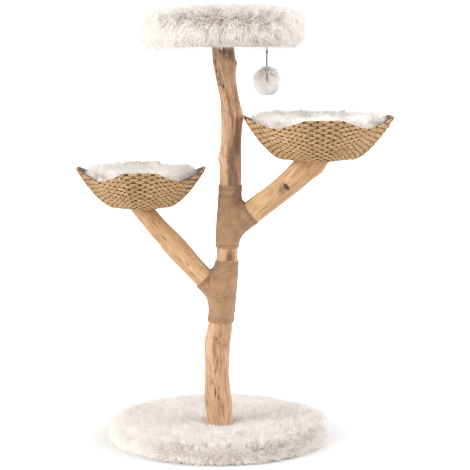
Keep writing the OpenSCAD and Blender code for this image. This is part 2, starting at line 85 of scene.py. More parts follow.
def unit(v):
    return v / np.maximum(np.linalg.norm(v, axis=-1, keepdims=True), 1e-12)


def smooth_between(x, low, high):
    t = np.clip((x - low) / (high - low), 0, 1)
    return t * t * (3 - 2 * t)


def smooth_table(table, step, blur):
    """A table of rows [position, value, ...] as smooth values at a close, even spacing."""
    table = np.array(table, float)
    at = np.arange(table[0, 0], table[-1, 0] + step / 2, step)
    reach = int(3 * blur / step)
    kernel = np.exp(-0.5 * (np.arange(-reach, reach + 1) * step / blur) ** 2)
    kernel /= kernel.sum()
    columns = []
    for k in range(1, table.shape[1]):
        v = np.interp(at, table[:, 0], table[:, k])
        first, last = v[0], v[-1]
        slope0, slope1 = v[1] - v[0], v[-1] - v[-2]
        before, after = first - slope0 * np.arange(reach, 0, -1), last + slope1 * np.arange(1, reach + 1)
        columns.append(np.convolve(np.concatenate([before, v, after]), kernel, "valid"))
    return at, np.stack(columns, axis=-1)


def lookup(x, at, values):
    return np.stack([np.interp(x, at, values[:, k]) for k in range(values.shape[1])], axis=-1)


def distance_along(path):
    """How far along an open path each of its points is."""
    return np.concatenate([[0], np.cumsum(np.linalg.norm(np.diff(path, axis=0), axis=1))])


def distance_round(path):
    """How far round a closed path each of its points is."""
    return distance_along(np.concatenate([path, path[:1]]))[:-1]


def outward(q):
    """Level unit vectors away from the Z axis, the way round it, and the distance from it."""
    r = np.hypot(q[:, 0], q[:, 1])
    out = unit(np.stack([q[:, 0], q[:, 1], 0 * r], -1))
    return out, np.stack([-out[:, 1], out[:, 0], 0 * r], -1), r


DOWN = np.array([0, 0, -1.0])


# ---------------------------------------------------------------- meshes


def add_object(name, data):
    obj = bpy.data.objects.new(name, data)
    bpy.context.scene.collection.objects.link(obj)
    return obj


def make_mesh(name, points, faces, attributes=None):
    """A mesh object. faces is a list of whole-number arrays, each with one row per face."""
    points = np.asarray(points, np.float32).reshape(-1, 3)
    mesh = bpy.data.meshes.new(name)
    mesh.vertices.add(len(points))
    mesh.vertices.foreach_set("co", points.ravel())
    faces = [np.asarray(f, np.int32) for f in faces if len(f)]
    loops = np.concatenate([f.ravel() for f in faces])
    sizes = np.concatenate([np.full(len(f), f.shape[1], np.int32) for f in faces])
    starts = np.concatenate([[0], np.cumsum(sizes)[:-1]]).astype(np.int32)
    mesh.loops.add(len(loops))
    mesh.loops.foreach_set("vertex_index", loops)
    mesh.polygons.add(len(sizes))
    mesh.polygons.foreach_set("loop_start", starts)
    mesh.update(calc_edges=True)
    mesh.polygons.foreach_set("use_smooth", np.full(len(sizes), True))
    for key, value in (attributes or {}).items():
        value = np.asarray(value, np.float32)
        if value.ndim == 2:
            a = mesh.attributes.new(key, "FLOAT_VECTOR", "POINT")
            a.data.foreach_set("vector", value.ravel())
        else:
            a = mesh.attributes.new(key, "FLOAT", "POINT")
            a.data.foreach_set("value", value)
    mesh.validate()
    return add_object(name, mesh)


def grid_faces(rings, sides, wrap_rings=False, wrap_sides=True, first=0):
    """Quads between rings of points, numbered ring by ring."""
    j = np.arange(rings if wrap_rings else rings - 1)
    i = np.arange(sides if wrap_sides else sides - 1)
    j, i = np.meshgrid(j, i, indexing="ij")
    j2, i2 = (j + 1) % rings, (i + 1) % sides
    quads = np.stack([j * sides + i, j * sides + i2, j2 * sides + i2, j2 * sides + i], -1)
    return quads.reshape(-1, 4) + first


def cap_faces(ring_start, sides, centre, flip=False):
    i = np.arange(sides)
    a, b = ring_start + i, ring_start + (i + 1) % sides
    c = np.full(sides, centre)
    return np.stack([b, a, c] if not flip else [a, b, c], -1)


def closed_ends(n, sides):
    """Faces of n rings whose last ring closes on the point after them, and the first on the next."""
    return [
        grid_faces(n, sides),
        cap_faces((n - 1) * sides, sides, n * sides, flip=True),
        cap_faces(0, sides, n * sides + 1),
    ]


def closed_tube(rings, attributes):
    """Points, faces and attributes of a tube of rings (n, sides, 3) with closed ends."""
    n, sides = rings.shape[:2]
    points = np.concatenate([rings.reshape(-1, 3), rings[0].mean(0)[None], rings[-1].mean(0)[None]])
    faces = [
        grid_faces(n, sides),
        cap_faces(0, sides, n * sides),
        cap_faces((n - 1) * sides, sides, n * sides + 1, flip=True),
    ]
    out = {}
    for key, v in attributes.items():
        v = np.asarray(v)
        flat = v.reshape(n * sides, -1)
        ends = np.stack([v[0].reshape(sides, -1).mean(0), v[-1].reshape(sides, -1).mean(0)])
        flat = np.concatenate([flat, ends])
        out[key] = flat[:, 0] if flat.shape[1] == 1 else flat
    return points, faces, out


def joined(parts):
    """Several (points, faces, attributes) as one."""
    points, faces, attributes, count = [], [], {}, 0
    for p, f, a in parts:
        points.append(p)
        faces += [np.asarray(x) + count for x in f]
        for key, v in a.items():
            attributes.setdefault(key, []).append(v)
        count += len(p)
    return np.concatenate(points), faces, {k: np.concatenate(v) for k, v in attributes.items()}


def place(obj, body, material, slot, *nodes):
    """Gives a piece its material and body, and hides the CAD nodes that it stands for. slot is not used."""
    obj.data.materials.append(material)
    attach(obj, body)
    if nodes:
        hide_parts(*nodes)
    return obj


# ---------------------------------------------------------------- materials


class Nodes:
    """Short names for building a material's nodes."""

    def __init__(self, name):
        self.material = bpy.data.materials.new(name)
        self.material.use_nodes = True
        self.tree = self.material.node_tree
        self.shader = self.tree.nodes["Principled BSDF"]

    def new(self, kind, **settings):
        n = self.tree.nodes.new(kind)
        for k, v in settings.items():
            setattr(n, k, v)
        return n

    def link(self, a, b):
        self.tree.links.new(a, b)

    def attribute(self, name):
        return self.new("ShaderNodeAttribute", attribute_name=name)

    def vector(self, name, scale):
        m = self.new("ShaderNodeMapping")
        m.inputs["Scale"].default_value = scale
        self.link(self.attribute(name).outputs["Vector"], m.inputs["Vector"])
        return m.outputs["Vector"]

    def object_vector(self, scale):
        m = self.new("ShaderNodeMapping")
        m.inputs["Scale"].default_value = scale
        self.link(self.new("ShaderNodeTexCoord").outputs["Object"], m.inputs["Vector"])
        return m.outputs["Vector"]

    def noise(self, vector, scale, detail=4, roughness=0.5, distortion=0.0):
        n = self.new("ShaderNodeTexNoise")
        self.link(vector, n.inputs["Vector"])
        n.inputs["Scale"].default_value = scale
        n.inputs["Detail"].default_value = detail
        n.inputs["Roughness"].default_value = roughness
        n.inputs["Distortion"].default_value = distortion
        return n.outputs["Fac"]

    def wave(self, vector, scale, direction="X", distortion=0.0, detail=2):
        n = self.new("ShaderNodeTexWave", wave_type="BANDS", bands_direction=direction)
        self.link(vector, n.inputs["Vector"])
        n.inputs["Scale"].default_value = scale
        n.inputs["Distortion"].default_value = distortion
        n.inputs["Detail"].default_value = detail
        return n.outputs["Fac"]

    def ramp(self, value, *stops):
        r = self.new("ShaderNodeValToRGB")
        e = r.color_ramp.elements
        while len(e) < len(stops):
            e.new(0.5)
        for k, (at, colour) in enumerate(stops):
            e[k].position = at
            e[k].color = (*colour, 1)
        self.link(value, r.inputs["Fac"])
        return r.outputs["Color"]

    def mix(self, a, b, factor, mode="MIX"):
        m = self.new("ShaderNodeMix", data_type="RGBA", blend_type=mode)
        for socket, v in ((m.inputs[6], a), (m.inputs[7], b), (m.inputs[0], factor)):
            if isinstance(v, (int, float)):
                socket.default_value = v
            elif isinstance(v, tuple):
                socket.default_value = (*v, 1)
            else:
                self.link(v, socket)
        return m.outputs[2]

    def stain(self, colour, share, value, *stops):
        """The colour multiplied by a ramp of value."""
        return self.mix(colour, self.ramp(value, *stops), share, "MULTIPLY")

    def math(self, operation, a, b=0.5):
        m = self.new("ShaderNodeMath", operation=operation)
        for socket, v in ((m.inputs[0], a), (m.inputs[1], b)):
            if isinstance(v, (int, float)):
                socket.default_value = v
            else:
                self.link(v, socket)
        return m.outputs[0]

    def bump(self, height, strength, distance, before=None):
        b = self.new("ShaderNodeBump")
        b.inputs["Strength"].default_value = strength
        b.inputs["Distance"].default_value = distance
        self.link(height, b.inputs["Height"])
        if before is not None:
            self.link(before, b.inputs["Normal"])
        return b.outputs["Normal"]

    def finish(self, colour, roughness, normal=None, **settings):
        if isinstance(colour, tuple):
            self.shader.inputs["Base Color"].default_value = (*colour, 1)
        else:
            self.link(colour, self.shader.inputs["Base Color"])
        if isinstance(roughness, float):
            self.shader.inputs["Roughness"].default_value = roughness
        else:
            self.link(roughness, self.shader.inputs["Roughness"])
        if normal is not None:
            self.link(normal, self.shader.inputs["Normal"])
        for key, v in settings.items():
            self.shader.inputs[key.replace("_", " ")].default_value = v
        return self.material


WHITE = (1, 1, 1)
BLACK = (0, 0, 0)


def grey(value):
    return (value,) * 3


def scaled(colour, factor):
    return tuple(min(1, c * factor) for c in colour)


def wood_material(name, light, dark, streak):
    """Bare branch wood. The grain attribute runs along the log; mark darkens splits and knots, and some broad
    marks on the trunk are painted shade.
    """
    n = Nodes(name)
    along = n.vector("grain", (1, 1, 0.10))
    fine = n.noise(along, 520, 6, 0.7)
    thread = n.noise(n.vector("grain", (1, 1, 0.035)), 900, 3, 0.6)
    broad = n.noise(along, 75, 5, 0.6, 1.2)
    patch = n.noise(n.vector("grain", (1, 1, 0.32)), 24, 5, 0.6, 0.9)
    colour = n.ramp(broad, (0.25, dark), (0.52, light), (0.78, scaled(light, 1.16)))
    colour = n.mix(colour, streak, n.ramp(patch, (0.48, BLACK), (0.68, grey(0.80))))
    bleached = n.noise(n.vector("grain", (1, 1, 0.2)), 33, 4, 0.6, 0.5)
    pale = tuple(min(1, c * rise) for c, rise in zip(light, (1.22, 1.34, 1.55)))
    colour = n.mix(colour, pale, n.ramp(bleached, (0.52, BLACK), (0.72, grey(0.75))))
    colour = n.stain(colour, 0.6, fine, (0.28, (0.60, 0.50, 0.42)), (0.58, WHITE))
    colour = n.stain(colour, 0.45, thread, (0.33, (0.68, 0.58, 0.50)), (0.5, WHITE))
    mark = n.attribute("mark").outputs["Fac"]
    # mark darkens splits and knots, and in some broad trunk marks it is painted shade
    crack_and_shade = n.ramp(mark, (0.0, scaled(dark, 0.55)), (1.0, (0.045, 0.022, 0.012)))
    colour = n.mix(colour, crack_and_shade, n.math("POWER", mark, 0.8))
    normal = n.bump(fine, 0.45, 0.0010)
    normal = n.bump(broad, 0.40, 0.0022, normal)
    normal = n.bump(thread, 0.25, 0.0006, normal)
    rough = n.ramp(patch, (0.3, grey(0.50)), (0.7, grey(0.68)))
    return n.finish(colour, rough, normal, Specular_IOR_Level=0.45)


def jute_material():
    n = Nodes("jute_weave")
    v = n.vector("cloth", (1, 1, 1))
    warp = n.wave(v, 150, "X", 1.5)
    weft = n.wave(v, 170, "Y", 1.8)
    weave = n.math("MULTIPLY", warp, weft)
    fuzz = n.noise(v, 260, 5, 0.7)
    patch = n.noise(v, 26, 4, 0.6)
    thread = ((0.22, (0.27, 0.155, 0.085)), (0.55, (0.54, 0.335, 0.195)), (0.8, (0.70, 0.47, 0.30)))
    colour = n.ramp(fuzz, *thread)
    colour = n.stain(colour, 0.6, weave, (0.0, (0.55, 0.5, 0.46)), (0.5, WHITE))
    colour = n.stain(colour, 1.0, patch, (0.35, (0.8, 0.77, 0.74)), (0.65, (1.08, 1.06, 1.04)))
    # painted shade: mark darkens the upper corner between trunk and limb, the side towards the limb above it,
    # and the creases along each raised turn
    shade = n.attribute("mark").outputs["Fac"]
    colour = n.mix(colour, (0.09, 0.05, 0.028), shade)
    normal = n.bump(weave, 0.7, 0.0010)
    normal = n.bump(fuzz, 0.5, 0.0008, normal)
    return n.finish(colour, 0.95, normal, Specular_IOR_Level=0.15, Sheen_Weight=0.2)


def rope_material():
    """Twisted paper rope. cord is (along, around, row); the darkening attribute read below is painted shade
    where a strand dips, along its edges and on the stakes.
    """
    n = Nodes("paper_rope")
    v = n.vector("cord", (1, 1, 1))
    twist = n.wave(v, 55, "DIAGONAL", 0.9)
    fibre = n.noise(n.vector("cord", (0.35, 1, 1)), 700, 4, 0.7)
    tone = n.noise(n.vector("cord", (1, 0.1, 1)), 60, 3, 0.65)
    colour = n.ramp(tone, (0.28, (0.38, 0.22, 0.10)), (0.5, (0.54, 0.345, 0.175)), (0.74, (0.71, 0.50, 0.29)))
    colour = n.stain(colour, 0.6, fibre, (0.3, (0.74, 0.69, 0.63)), (0.6, WHITE))
    colour = n.stain(colour, 0.45, twist, (0.0, (0.74, 0.67, 0.60)), (0.4, WHITE))
    weave_shade = n.attribute("weave_shade").outputs["Fac"]
    # painted shade: near-black where a strand dips into the weave, along its edges and on the stakes behind
    # the rows
    colour = n.mix(colour, (0.085, 0.042, 0.018), weave_shade)
    normal = n.bump(twist, 0.5, 0.0007)
    normal = n.bump(fibre, 0.4, 0.0005, normal)
    return n.finish(colour, 0.72, normal, Specular_IOR_Level=0.3)


def fur_material(name):
    """Long pile.

    tip runs from 0 at a hair's root to 1 at its point, tone differs from hair to hair, and dark is 1
    where the pile parts. The darker roots, and the dark hairs where the pile parts, are painted shade.
    """
    n = Nodes(name)
    tip_at = n.attribute("tip").outputs["Fac"]
    tone = n.attribute("tone").outputs["Fac"]
    dark = n.attribute("dark").outputs["Fac"]
    # painted shade: the pile darkens towards its roots, and far more where it parts, for the shade deep
    # inside it
    full = n.ramp(tip_at, (0.0, (0.50, 0.42, 0.36)), (0.35, (0.76, 0.69, 0.635)), (0.75, (0.87, 0.825, 0.78)))
    shaded_root = ((0.0, (0.12, 0.075, 0.05)), (0.45, (0.30, 0.215, 0.165)))
    shaded_tip = ((0.85, (0.42, 0.335, 0.275)), (1.0, (0.62, 0.53, 0.465)))
    parted = n.ramp(tip_at, *shaded_root, *shaded_tip)
    colour = n.mix(full, parted, dark)
    colour = n.stain(colour, 1.0, tone, (0.0, (0.86, 0.83, 0.80)), (0.5, WHITE))
    speck = n.noise(n.object_vector((1, 1, 1)), 900, 2)
    normal = n.bump(speck, 0.10, 0.0003)
    return n.finish(colour, 0.9, normal, Specular_IOR_Level=0.12, Sheen_Weight=0.25)


def cloth_material(name, colour, scale=900):
    n = Nodes(name)
    v = n.object_vector((1, 1, 1))
    weave = n.math("MULTIPLY", n.wave(v, scale, "X", 0.5), n.wave(v, scale, "Y", 0.5))
    fuzz = n.noise(v, scale * 0.6, 4, 0.7)
    shade = n.ramp(fuzz, (0.3, scaled(colour, 0.6)), (0.7, scaled(colour, 1.3)))
    return n.finish(shade, 0.95, n.bump(weave, 0.5, 0.0006), Specular_IOR_Level=0.1, Sheen_Weight=0.3)


def board_material():
    n = Nodes("plywood")
    v = n.object_vector((1, 0.12, 1))
    grain = n.noise(v, 160, 6, 0.6, 1.2)
    plies = n.wave(n.object_vector((0, 0, 1)), 160, "Z", 0.3)
    colour = n.ramp(grain, (0.3, (0.42, 0.26, 0.13)), (0.65, (0.66, 0.47, 0.28)))
    colour = n.stain(colour, 0.35, plies, (0.2, (0.6, 0.55, 0.5)), (0.6, WHITE))
    return n.finish(colour, 0.7, n.bump(grain, 0.2, 0.0006))


def metal_material(name, colour, roughness):
    n = Nodes(name)
    v = n.object_vector((1, 1, 1))
    wear = n.noise(v, 500, 4, 0.6)
    rough = n.ramp(wear, (0.3, grey(roughness * 0.7)), (0.7, grey(roughness * 1.4)))
    shade = n.ramp(wear, (0.2, scaled(colour, 0.8)), (0.8, colour))
    return n.finish(shade, rough, n.bump(wear, 0.1, 0.0002), Metallic=1.0)


def string_material():
    n = Nodes("twisted_string")
    v = n.vector("cord", (1, 1, 1))
    twist = n.wave(v, 160, "DIAGONAL", 0.3)
    fuzz = n.noise(v, 1500, 3, 0.7)
    colour = n.ramp(twist, (0.1, (0.035, 0.036, 0.042)), (0.7, (0.062, 0.066, 0.074)))
    colour = n.stain(colour, 0.6, fuzz, (0.3, grey(0.7)), (0.7, grey(1.2)))
    return n.finish(colour, 0.9, n.bump(twist, 0.8, 0.0005), Sheen_Weight=0.3)


TRUNK_WOOD = wood_material("trunk_wood", (0.565, 0.345, 0.20), (0.33, 0.165, 0.08), (0.29, 0.14, 0.07))
BRANCH_WOOD = wood_material("branch_wood", (0.62, 0.385, 0.20), (0.42, 0.225, 0.09), (0.40, 0.205, 0.08))
JUTE = jute_material()
ROPE = rope_material()
FUR = fur_material("plush_fur")
# painted shade: near-black cloth for the core, seen between the rows of the basket wall
SHADE_CORE_CLOTH = cloth_material("basket_shade_core", (0.05, 0.027, 0.013))
FELT = cloth_material("felt", (0.06, 0.06, 0.065))
DUST_CLOTH = cloth_material("dust_cloth", (0.09, 0.09, 0.095), 1200)
FOAM = cloth_material("foam", (0.85, 0.82, 0.65), 500)
PLYWOOD = board_material()
STEEL = metal_material("steel", (0.62, 0.62, 0.63), 0.32)
WIRE = metal_material("painted_wire", (0.30, 0.22, 0.13), 0.5)
STRING = string_material()


# ---------------------------------------------------------------- logs

# Height, offset along X and radius of the trunk, in millimetres
TRUNK = [
    (0, 1, 37), (60, 1, 38), (115, -4, 42), (140, -7, 40), (200, -9, 36), (270, -6, 38),
    (300, -4, 40), (345, 4, 37), (420, 8, 35), (500, 18, 33), (570, 24, 31), (640, 26, 31),
    (720, 31, 31.5), (800, 34, 31), (860, 31, 33.5), (910, 35, 29), (985, 37, 30),
    (1035, 32, 27), (1090, 22, 29), (1140, 17, 33), (1210, 10, 33),
]
# Distance along, X, Y, Z and radius of each limb, in millimetres
LEFT_LIMB = [
    (0, 13, 0, 431, 32), (90, -49, 4, 497, 31), (140, -84, 7, 533, 31), (190, -122, 10, 574, 33.5),
    (240, -155, 13, 612, 31), (290, -190, 16, 650, 29.5), (350, -229, 20, 696, 28), (390, -253, 22, 726, 28),
]
RIGHT_LIMB = [
    (0, 30, 0, 644, 33), (80, 93, -6, 693, 34), (155, 152, -14, 739, 34), (225, 206, -22, 782, 34.5),
    (280, 246, -28, 818, 38), (330, 280, -33, 854, 39), (365, 303, -36, 879, 39),
]
# Marks in the wood: distance along, angle round in degrees (270 faces the front), half length
# along, half width round, height (negative is a dent), darkness
TRUNK_MARKS = [
    (1073, 242, 7, 5, -3.0, 1.0), (1066, 236, 12, 8, 1.0, 0.35), (1115, 215, 38, 8, 3.0, 0.15),
    (1100, 232, 30, 4, -2.0, 0.45),
    (1150, 262, 5, 22, 1.6, 0.2), (1160, 268, 4, 18, -1.2, 0.35),
    (1010, 255, 26, 5, 2.0, 0.05), (975, 280, 36, 4, -1.4, 0.45), (940, 268, 24, 5, 1.8, 0.1),
    (880, 250, 30, 7, 3.2, 0.0), (865, 268, 24, 4, -2.2, 0.4), (905, 262, 16, 4, -1.6, 0.35),
    (858, 200, 17, 13, 4.5, 0.0), (845, 214, 16, 5, -1.6, 0.3),
    # painted shade: the broad marks on this line and the next, on the front and right side from 800 to 1020
    # mm, are a band of painted shadow as well as shallow dents
    (846, 284, 70, 15, -2.6, 0.68), (800, 272, 46, 12, -2.2, 0.66), (900, 308, 62, 14, -2.0, 0.66),
    (800, 300, 46, 12, -2.0, 0.62), (960, 312, 40, 8, -1.8, 0.45), (1020, 312, 60, 7, -1.8, 0.34),
    (1040, 262, 40, 7, -1.4, 0.36), (556, 284, 30, 13, -1.2, 0.72), (562, 306, 20, 8, -1.0, 0.40),
    # painted shade: the dark marks on this line, just under the perch
    (1180, 268, 20, 13, -1.0, 0.60), (1178, 250, 9, 5, -1.8, 0.55), (1172, 308, 24, 10, -1.2, 0.62),
    (1146, 204, 7, 7, -4.0, 0.95), (1131, 200, 8, 8, 3.5, 0.30), (1118, 208, 8, 8, -4.0, 0.95),
    (1106, 206, 7, 7, 4.0, 0.55), (1095, 214, 9, 6, -3.5, 0.95), (1080, 222, 9, 6, 2.4, 0.60),
    (1140, 352, 15, 13, 6.0, 0.10), (1122, 340, 6, 6, -2.0, 0.50), (986, 350, 26, 14, 3.0, 0.0),
    (872, 262, 5, 26, 1.8, 0.10), (864, 270, 3, 22, -2.0, 0.55), (1080, 240, 22, 6, -1.0, 0.35),
    (1150, 318, 9, 5, -1.8, 0.55), (1126, 262, 40, 8, -1.0, 0.25), (1000, 270, 26, 8, -1.2, 0.32),
    (320, 268, 30, 10, -1.0, 0.28), (280, 262, 26, 8, -1.0, 0.22), (880, 226, 14, 9, 2.0, 0.15),
    (312, 258, 5, 4, -2.6, 0.8), (300, 268, 4, 6, -1.6, 0.6), (322, 274, 4, 3, -1.6, 0.6),
    (240, 272, 24, 4, -2.4, 0.55), (238, 284, 26, 5, 1.6, 0.05), (214, 266, 9, 5, -2.0, 0.5),
    (312, 200, 16, 10, 3.4, 0.1), (148, 262, 18, 2.4, -2.6, 0.85), (132, 274, 10, 2.4, -2.0, 0.8),
    (160, 280, 8, 2, -1.5, 0.6), (122, 205, 20, 9, 3.2, 0.15), (112, 216, 16, 4, -2.0, 0.4),
    (90, 290, 26, 3, -1.0, 0.3), (380, 262, 14, 4, -1.2, 0.35),
    # round the back and sides
    (980, 80, 12, 10, 3.5, 0.2), (985, 82, 5, 4, -3.5, 0.8), (660, 60, 10, 9, 2.0, 0.1),
    (230, 95, 30, 5, -2.2, 0.55), (300, 40, 10, 9, 3.6, 0.15), (302, 42, 4, 4, -3.4, 0.8),
    (880, 140, 26, 5, -1.8, 0.4), (1130, 30, 20, 6, -1.6, 0.35), (1090, 120, 30, 5, 2.2, 0.1),
    (140, 150, 12, 9, 3.0, 0.2), (840, 20, 30, 5, -1.6, 0.35),
]
LEFT_MARKS = [
    (172, 285, 13, 12, 2.4, 0.0), (205, 250, 20, 9, 2.6, 0.0), (250, 262, 12, 4, -1.6, 0.4),
    (300, 280, 16, 3, -1.4, 0.45), (150, 262, 9, 3, -1.4, 0.5), (228, 215, 12, 10, 3.0, 0.0),
    (120, 240, 14, 6, -1.6, 0.25), (340, 255, 12, 3, -1.2, 0.3), (190, 80, 10, 8, 3.0, 0.1),
    (192, 82, 4, 4, -3.0, 0.8), (280, 110, 22, 4, -1.6, 0.4),
]
RIGHT_MARKS = [
    (204, 264, 17, 15, 7.0, 0.46), (202, 263, 7, 7, -1.6, 0.72), (221, 268, 7, 17, -5.5, 1.0),
    (213, 266, 3, 10, -1.2, 0.6), (208, 252, 3, 6, -1.0, 0.45), (196, 262, 3, 10, -0.8, 0.35),
    (230, 285, 30, 3, -1.2, 0.3), (128, 290, 20, 3, -1.2, 0.35), (290, 250, 12, 10, 2.6, 0.0),
    (318, 268, 14, 5, -1.8, 0.3), (322, 350, 24, 24, 7.0, 0.0), (300, 20, 20, 16, 3.0, 0.0),
    (110, 258, 16, 3, -1.0, 0.3), (200, 100, 9, 8, 3.0, 0.1),
    (203, 100, 4, 4, -3.0, 0.8), (255, 220, 20, 4, -1.6, 0.3),
]


def out_of_round(degrees, s):
    """A log's radius at each angle and distance along, as a share of its mean radius."""
    three = 0.025 * np.sin(np.radians(3 * degrees + 0.9 * s))
    return 1 + three + 0.015 * np.sin(np.radians(5 * degrees - 1.3 * s))


def spokes(a, across, up):
    return np.cos(a)[..., None] * across[:, None, :] + np.sin(a)[..., None] * up[:, None, :]


def log_surface(centre, across, up, radius, s, angles, marks, seed):
    """Rings of points of a log, with its grain coordinates and its marks. Sizes in millimetres."""
    a = angles[None, :]
    s2 = s[:, None]
    r0 = radius[:, None]
    degrees = np.degrees(a)
    r = r0 * out_of_round(degrees, s2)
    swirl = a + s2 / 420
    grain = np.stack([r0 * np.cos(swirl), r0 * np.sin(swirl), s2 + 0 * a], axis=-1)
    stretched = grain * [1, 1, 0.22]
    r = r + 1.7 * noise(stretched, 24, seed) + 0.8 * noise(stretched, 9, seed + 7)
    r = r + 0.35 * noise(grain * [1, 1, 0.10], 3.2, seed + 9)
    r = r - 1.1 * np.maximum(0, noise(grain * [1, 1, 0.06], 10, seed + 11) - 0.35) * 2
    mark = 0.32 * smooth_between(noise(grain * [1, 1, 0.05], 7, seed + 15), 0.55, 0.95)
    for at, angle, half_s, half_a, height, dark in marks:
        ds = (s2 - at) / half_s
        da = (degrees - angle + 180) % 360 - 180
        wobble = 0.25 * noise(grain, 8, seed + 20)
        da = np.radians(da) * r0 / half_a + wobble
        q = ds**2 + da**2
        bell = np.exp(-1.2 * q)
        r = r + height * bell
        mark = np.maximum(mark, dark * np.exp(-1.3 * q**2))
    points = centre[:, None, :] + r[..., None] * spokes(a, across, up)
    return points * MM, grain * MM, np.clip(mark, 0, 1)


TRUNK_AT, TRUNK_V = smooth_table(TRUNK, 2, 13)
AROUND = np.linspace(0, 2 * np.pi, 144, endpoint=False)


def trunk_frame(z):
    """Centre, cross directions and radius of the trunk at each height."""
    v = lookup(z, TRUNK_AT, TRUNK_V)
    centre = np.stack([v[:, 0], 3 * np.sin(np.radians(0.6 * z)), z], axis=-1)
    across = np.tile([1.0, 0, 0], (len(z), 1))
    up = np.tile([0, 1.0, 0], (len(z), 1))
    return centre, across, up, v[:, 1]


def limb_frame(table, s):
    """Centre, cross directions and radius of a limb at each distance along it."""
    at, values = smooth_table(table, 2, 14)
    v = lookup(s, at, values)
    d = unit(lookup(s + 6, at, values)[:, :3] - lookup(s - 6, at, values)[:, :3])
    across = unit(np.cross([0, 1.0, 0], d))
    return v[:, :3], across, np.cross(d, across), v[:, 3]


def trunk_piece(name, z0, z1, *nodes):
    z = np.arange(z0, z1 + 1.2, 2.5)
    z[-1] = z1
    points, grain, mark = log_surface(*trunk_frame(z), z, AROUND, TRUNK_MARKS, 3)
    parts = closed_tube(points, {"grain": grain, "mark": mark})
    return place(make_mesh(name, *parts), "frame", TRUNK_WOOD, "trunk_wood", *nodes)


def limb_piece(name, table, marks, start, top, seed, *nodes):
    """A limb from inside the trunk up to the plane where its basket stands."""
    s = np.arange(start, table[-1][0] + 1, 2.5)
    centre, across, up, radius = limb_frame(table, s)
    # limb angles turn round its own axis; 270 faces the front on both limbs
    points, grain, mark = log_surface(centre, across, up, radius, s, AROUND, marks, seed)
    over = np.clip(points[..., 2] - top, 0, None)
    direction = unit(centre[-1] - centre[-40])
    points = points - over[..., None] / direction[2] * direction
    parts = closed_tube(points, {"grain": grain, "mark": mark})
    return place(make_mesh(name, *parts), "frame", BRANCH_WOOD, "branch_wood", *nodes)


LOWER_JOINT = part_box("trunk_lower")[1].z / MM
UPPER_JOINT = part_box("trunk_middle")[1].z / MM
BOARD_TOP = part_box("base_board")[1].z / MM
TRUNK_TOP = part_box("perch_board")[0].z / MM
trunk_piece("trunk_log_lower", BOARD_TOP, LOWER_JOINT, "trunk_lower")
trunk_piece("trunk_log_middle", LOWER_JOINT, UPPER_JOINT, "trunk_middle")
trunk_piece("trunk_log_upper", UPPER_JOINT, TRUNK_TOP, "trunk_upper")
limb_piece("limb_left", LEFT_LIMB, LEFT_MARKS, 20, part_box("small_basket_weave")[0].z, 41, "left_branch")
limb_piece("limb_right", RIGHT_LIMB, RIGHT_MARKS, 20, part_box("large_basket_weave")[0].z, 53, "right_branch")


# ---------------------------------------------------------------- jute sleeves

FILLET = 26.0
JUTE_THICK = 3.5
COLLAR_START, COLLAR_END = 18, 84


def wound_tube(centre, across, up, radius, s, seed, swell, shade, lines):
    """Jute round a log: a closed tube with rolled ends.

    swell and shade give its extra thickness and its painted shade at each point. Each of lines is a
    raised turn: its distance along, half width and height; the creases along its edges get painted shade.
    """
    a = AROUND[None, :]
    s2 = s[:, None]
    wood = radius[:, None] * out_of_round(np.degrees(a), s2)
    edge = np.minimum(s2 - s[0], s[-1] - s2)
    round_off = np.sqrt(np.clip(1 - np.clip(1 - edge / JUTE_THICK, 0, 1) ** 2, 0, 1))
    tilt = s2 + 0.9 * np.sin(a + seed)
    turns = 0.35 * np.sin(2 * np.pi * tilt / 3.1)
    fold = 0.5 * noise(np.stack([wood * np.cos(a), wood * np.sin(a), s2 + 0 * a], -1), 17, seed)
    r = wood + JUTE_THICK * round_off + turns + fold
    mark = np.zeros_like(r)
    for at, width, height in lines:
        wave = at + 1.1 * np.sin(a + at) + 0.6 * np.sin(2 * a + 2 * at)
        q = (s2 - wave) / width
        r = r + height * np.exp(-2.5 * q**2)
        # painted shade in the creases along both edges of each raised turn
        mark = np.maximum(mark, 0.45 * np.exp(-5 * (np.abs(q) - 1.0) ** 2))
    spoke = spokes(a, across, up)
    rest = r
    for _ in range(5):
        r = rest + swell(centre[:, None, :] + r[..., None] * spoke)
    points = centre[:, None, :] + r[..., None] * spoke
    mark = np.maximum(mark, shade(points))
    cloth = np.stack([35 * a + 0 * s2, s2 + 0 * a, 0 * r], axis=-1)
    # the inner face lies just under the wood's surface
    inner = centre[:, None, :] + (wood - 1.5)[..., None] * spoke
    n, sides = r.shape
    both = np.concatenate([points, inner[::-1]])
    cloth2 = np.concatenate([cloth, cloth[::-1]])
    mark2 = np.concatenate([mark, mark[::-1]])
    return (
        both.reshape(-1, 3) * MM,
        [grid_faces(2 * n, sides, wrap_rings=True)],
        {"cloth": cloth2.reshape(-1, 3) * MM, "mark": mark2.ravel()},
    )


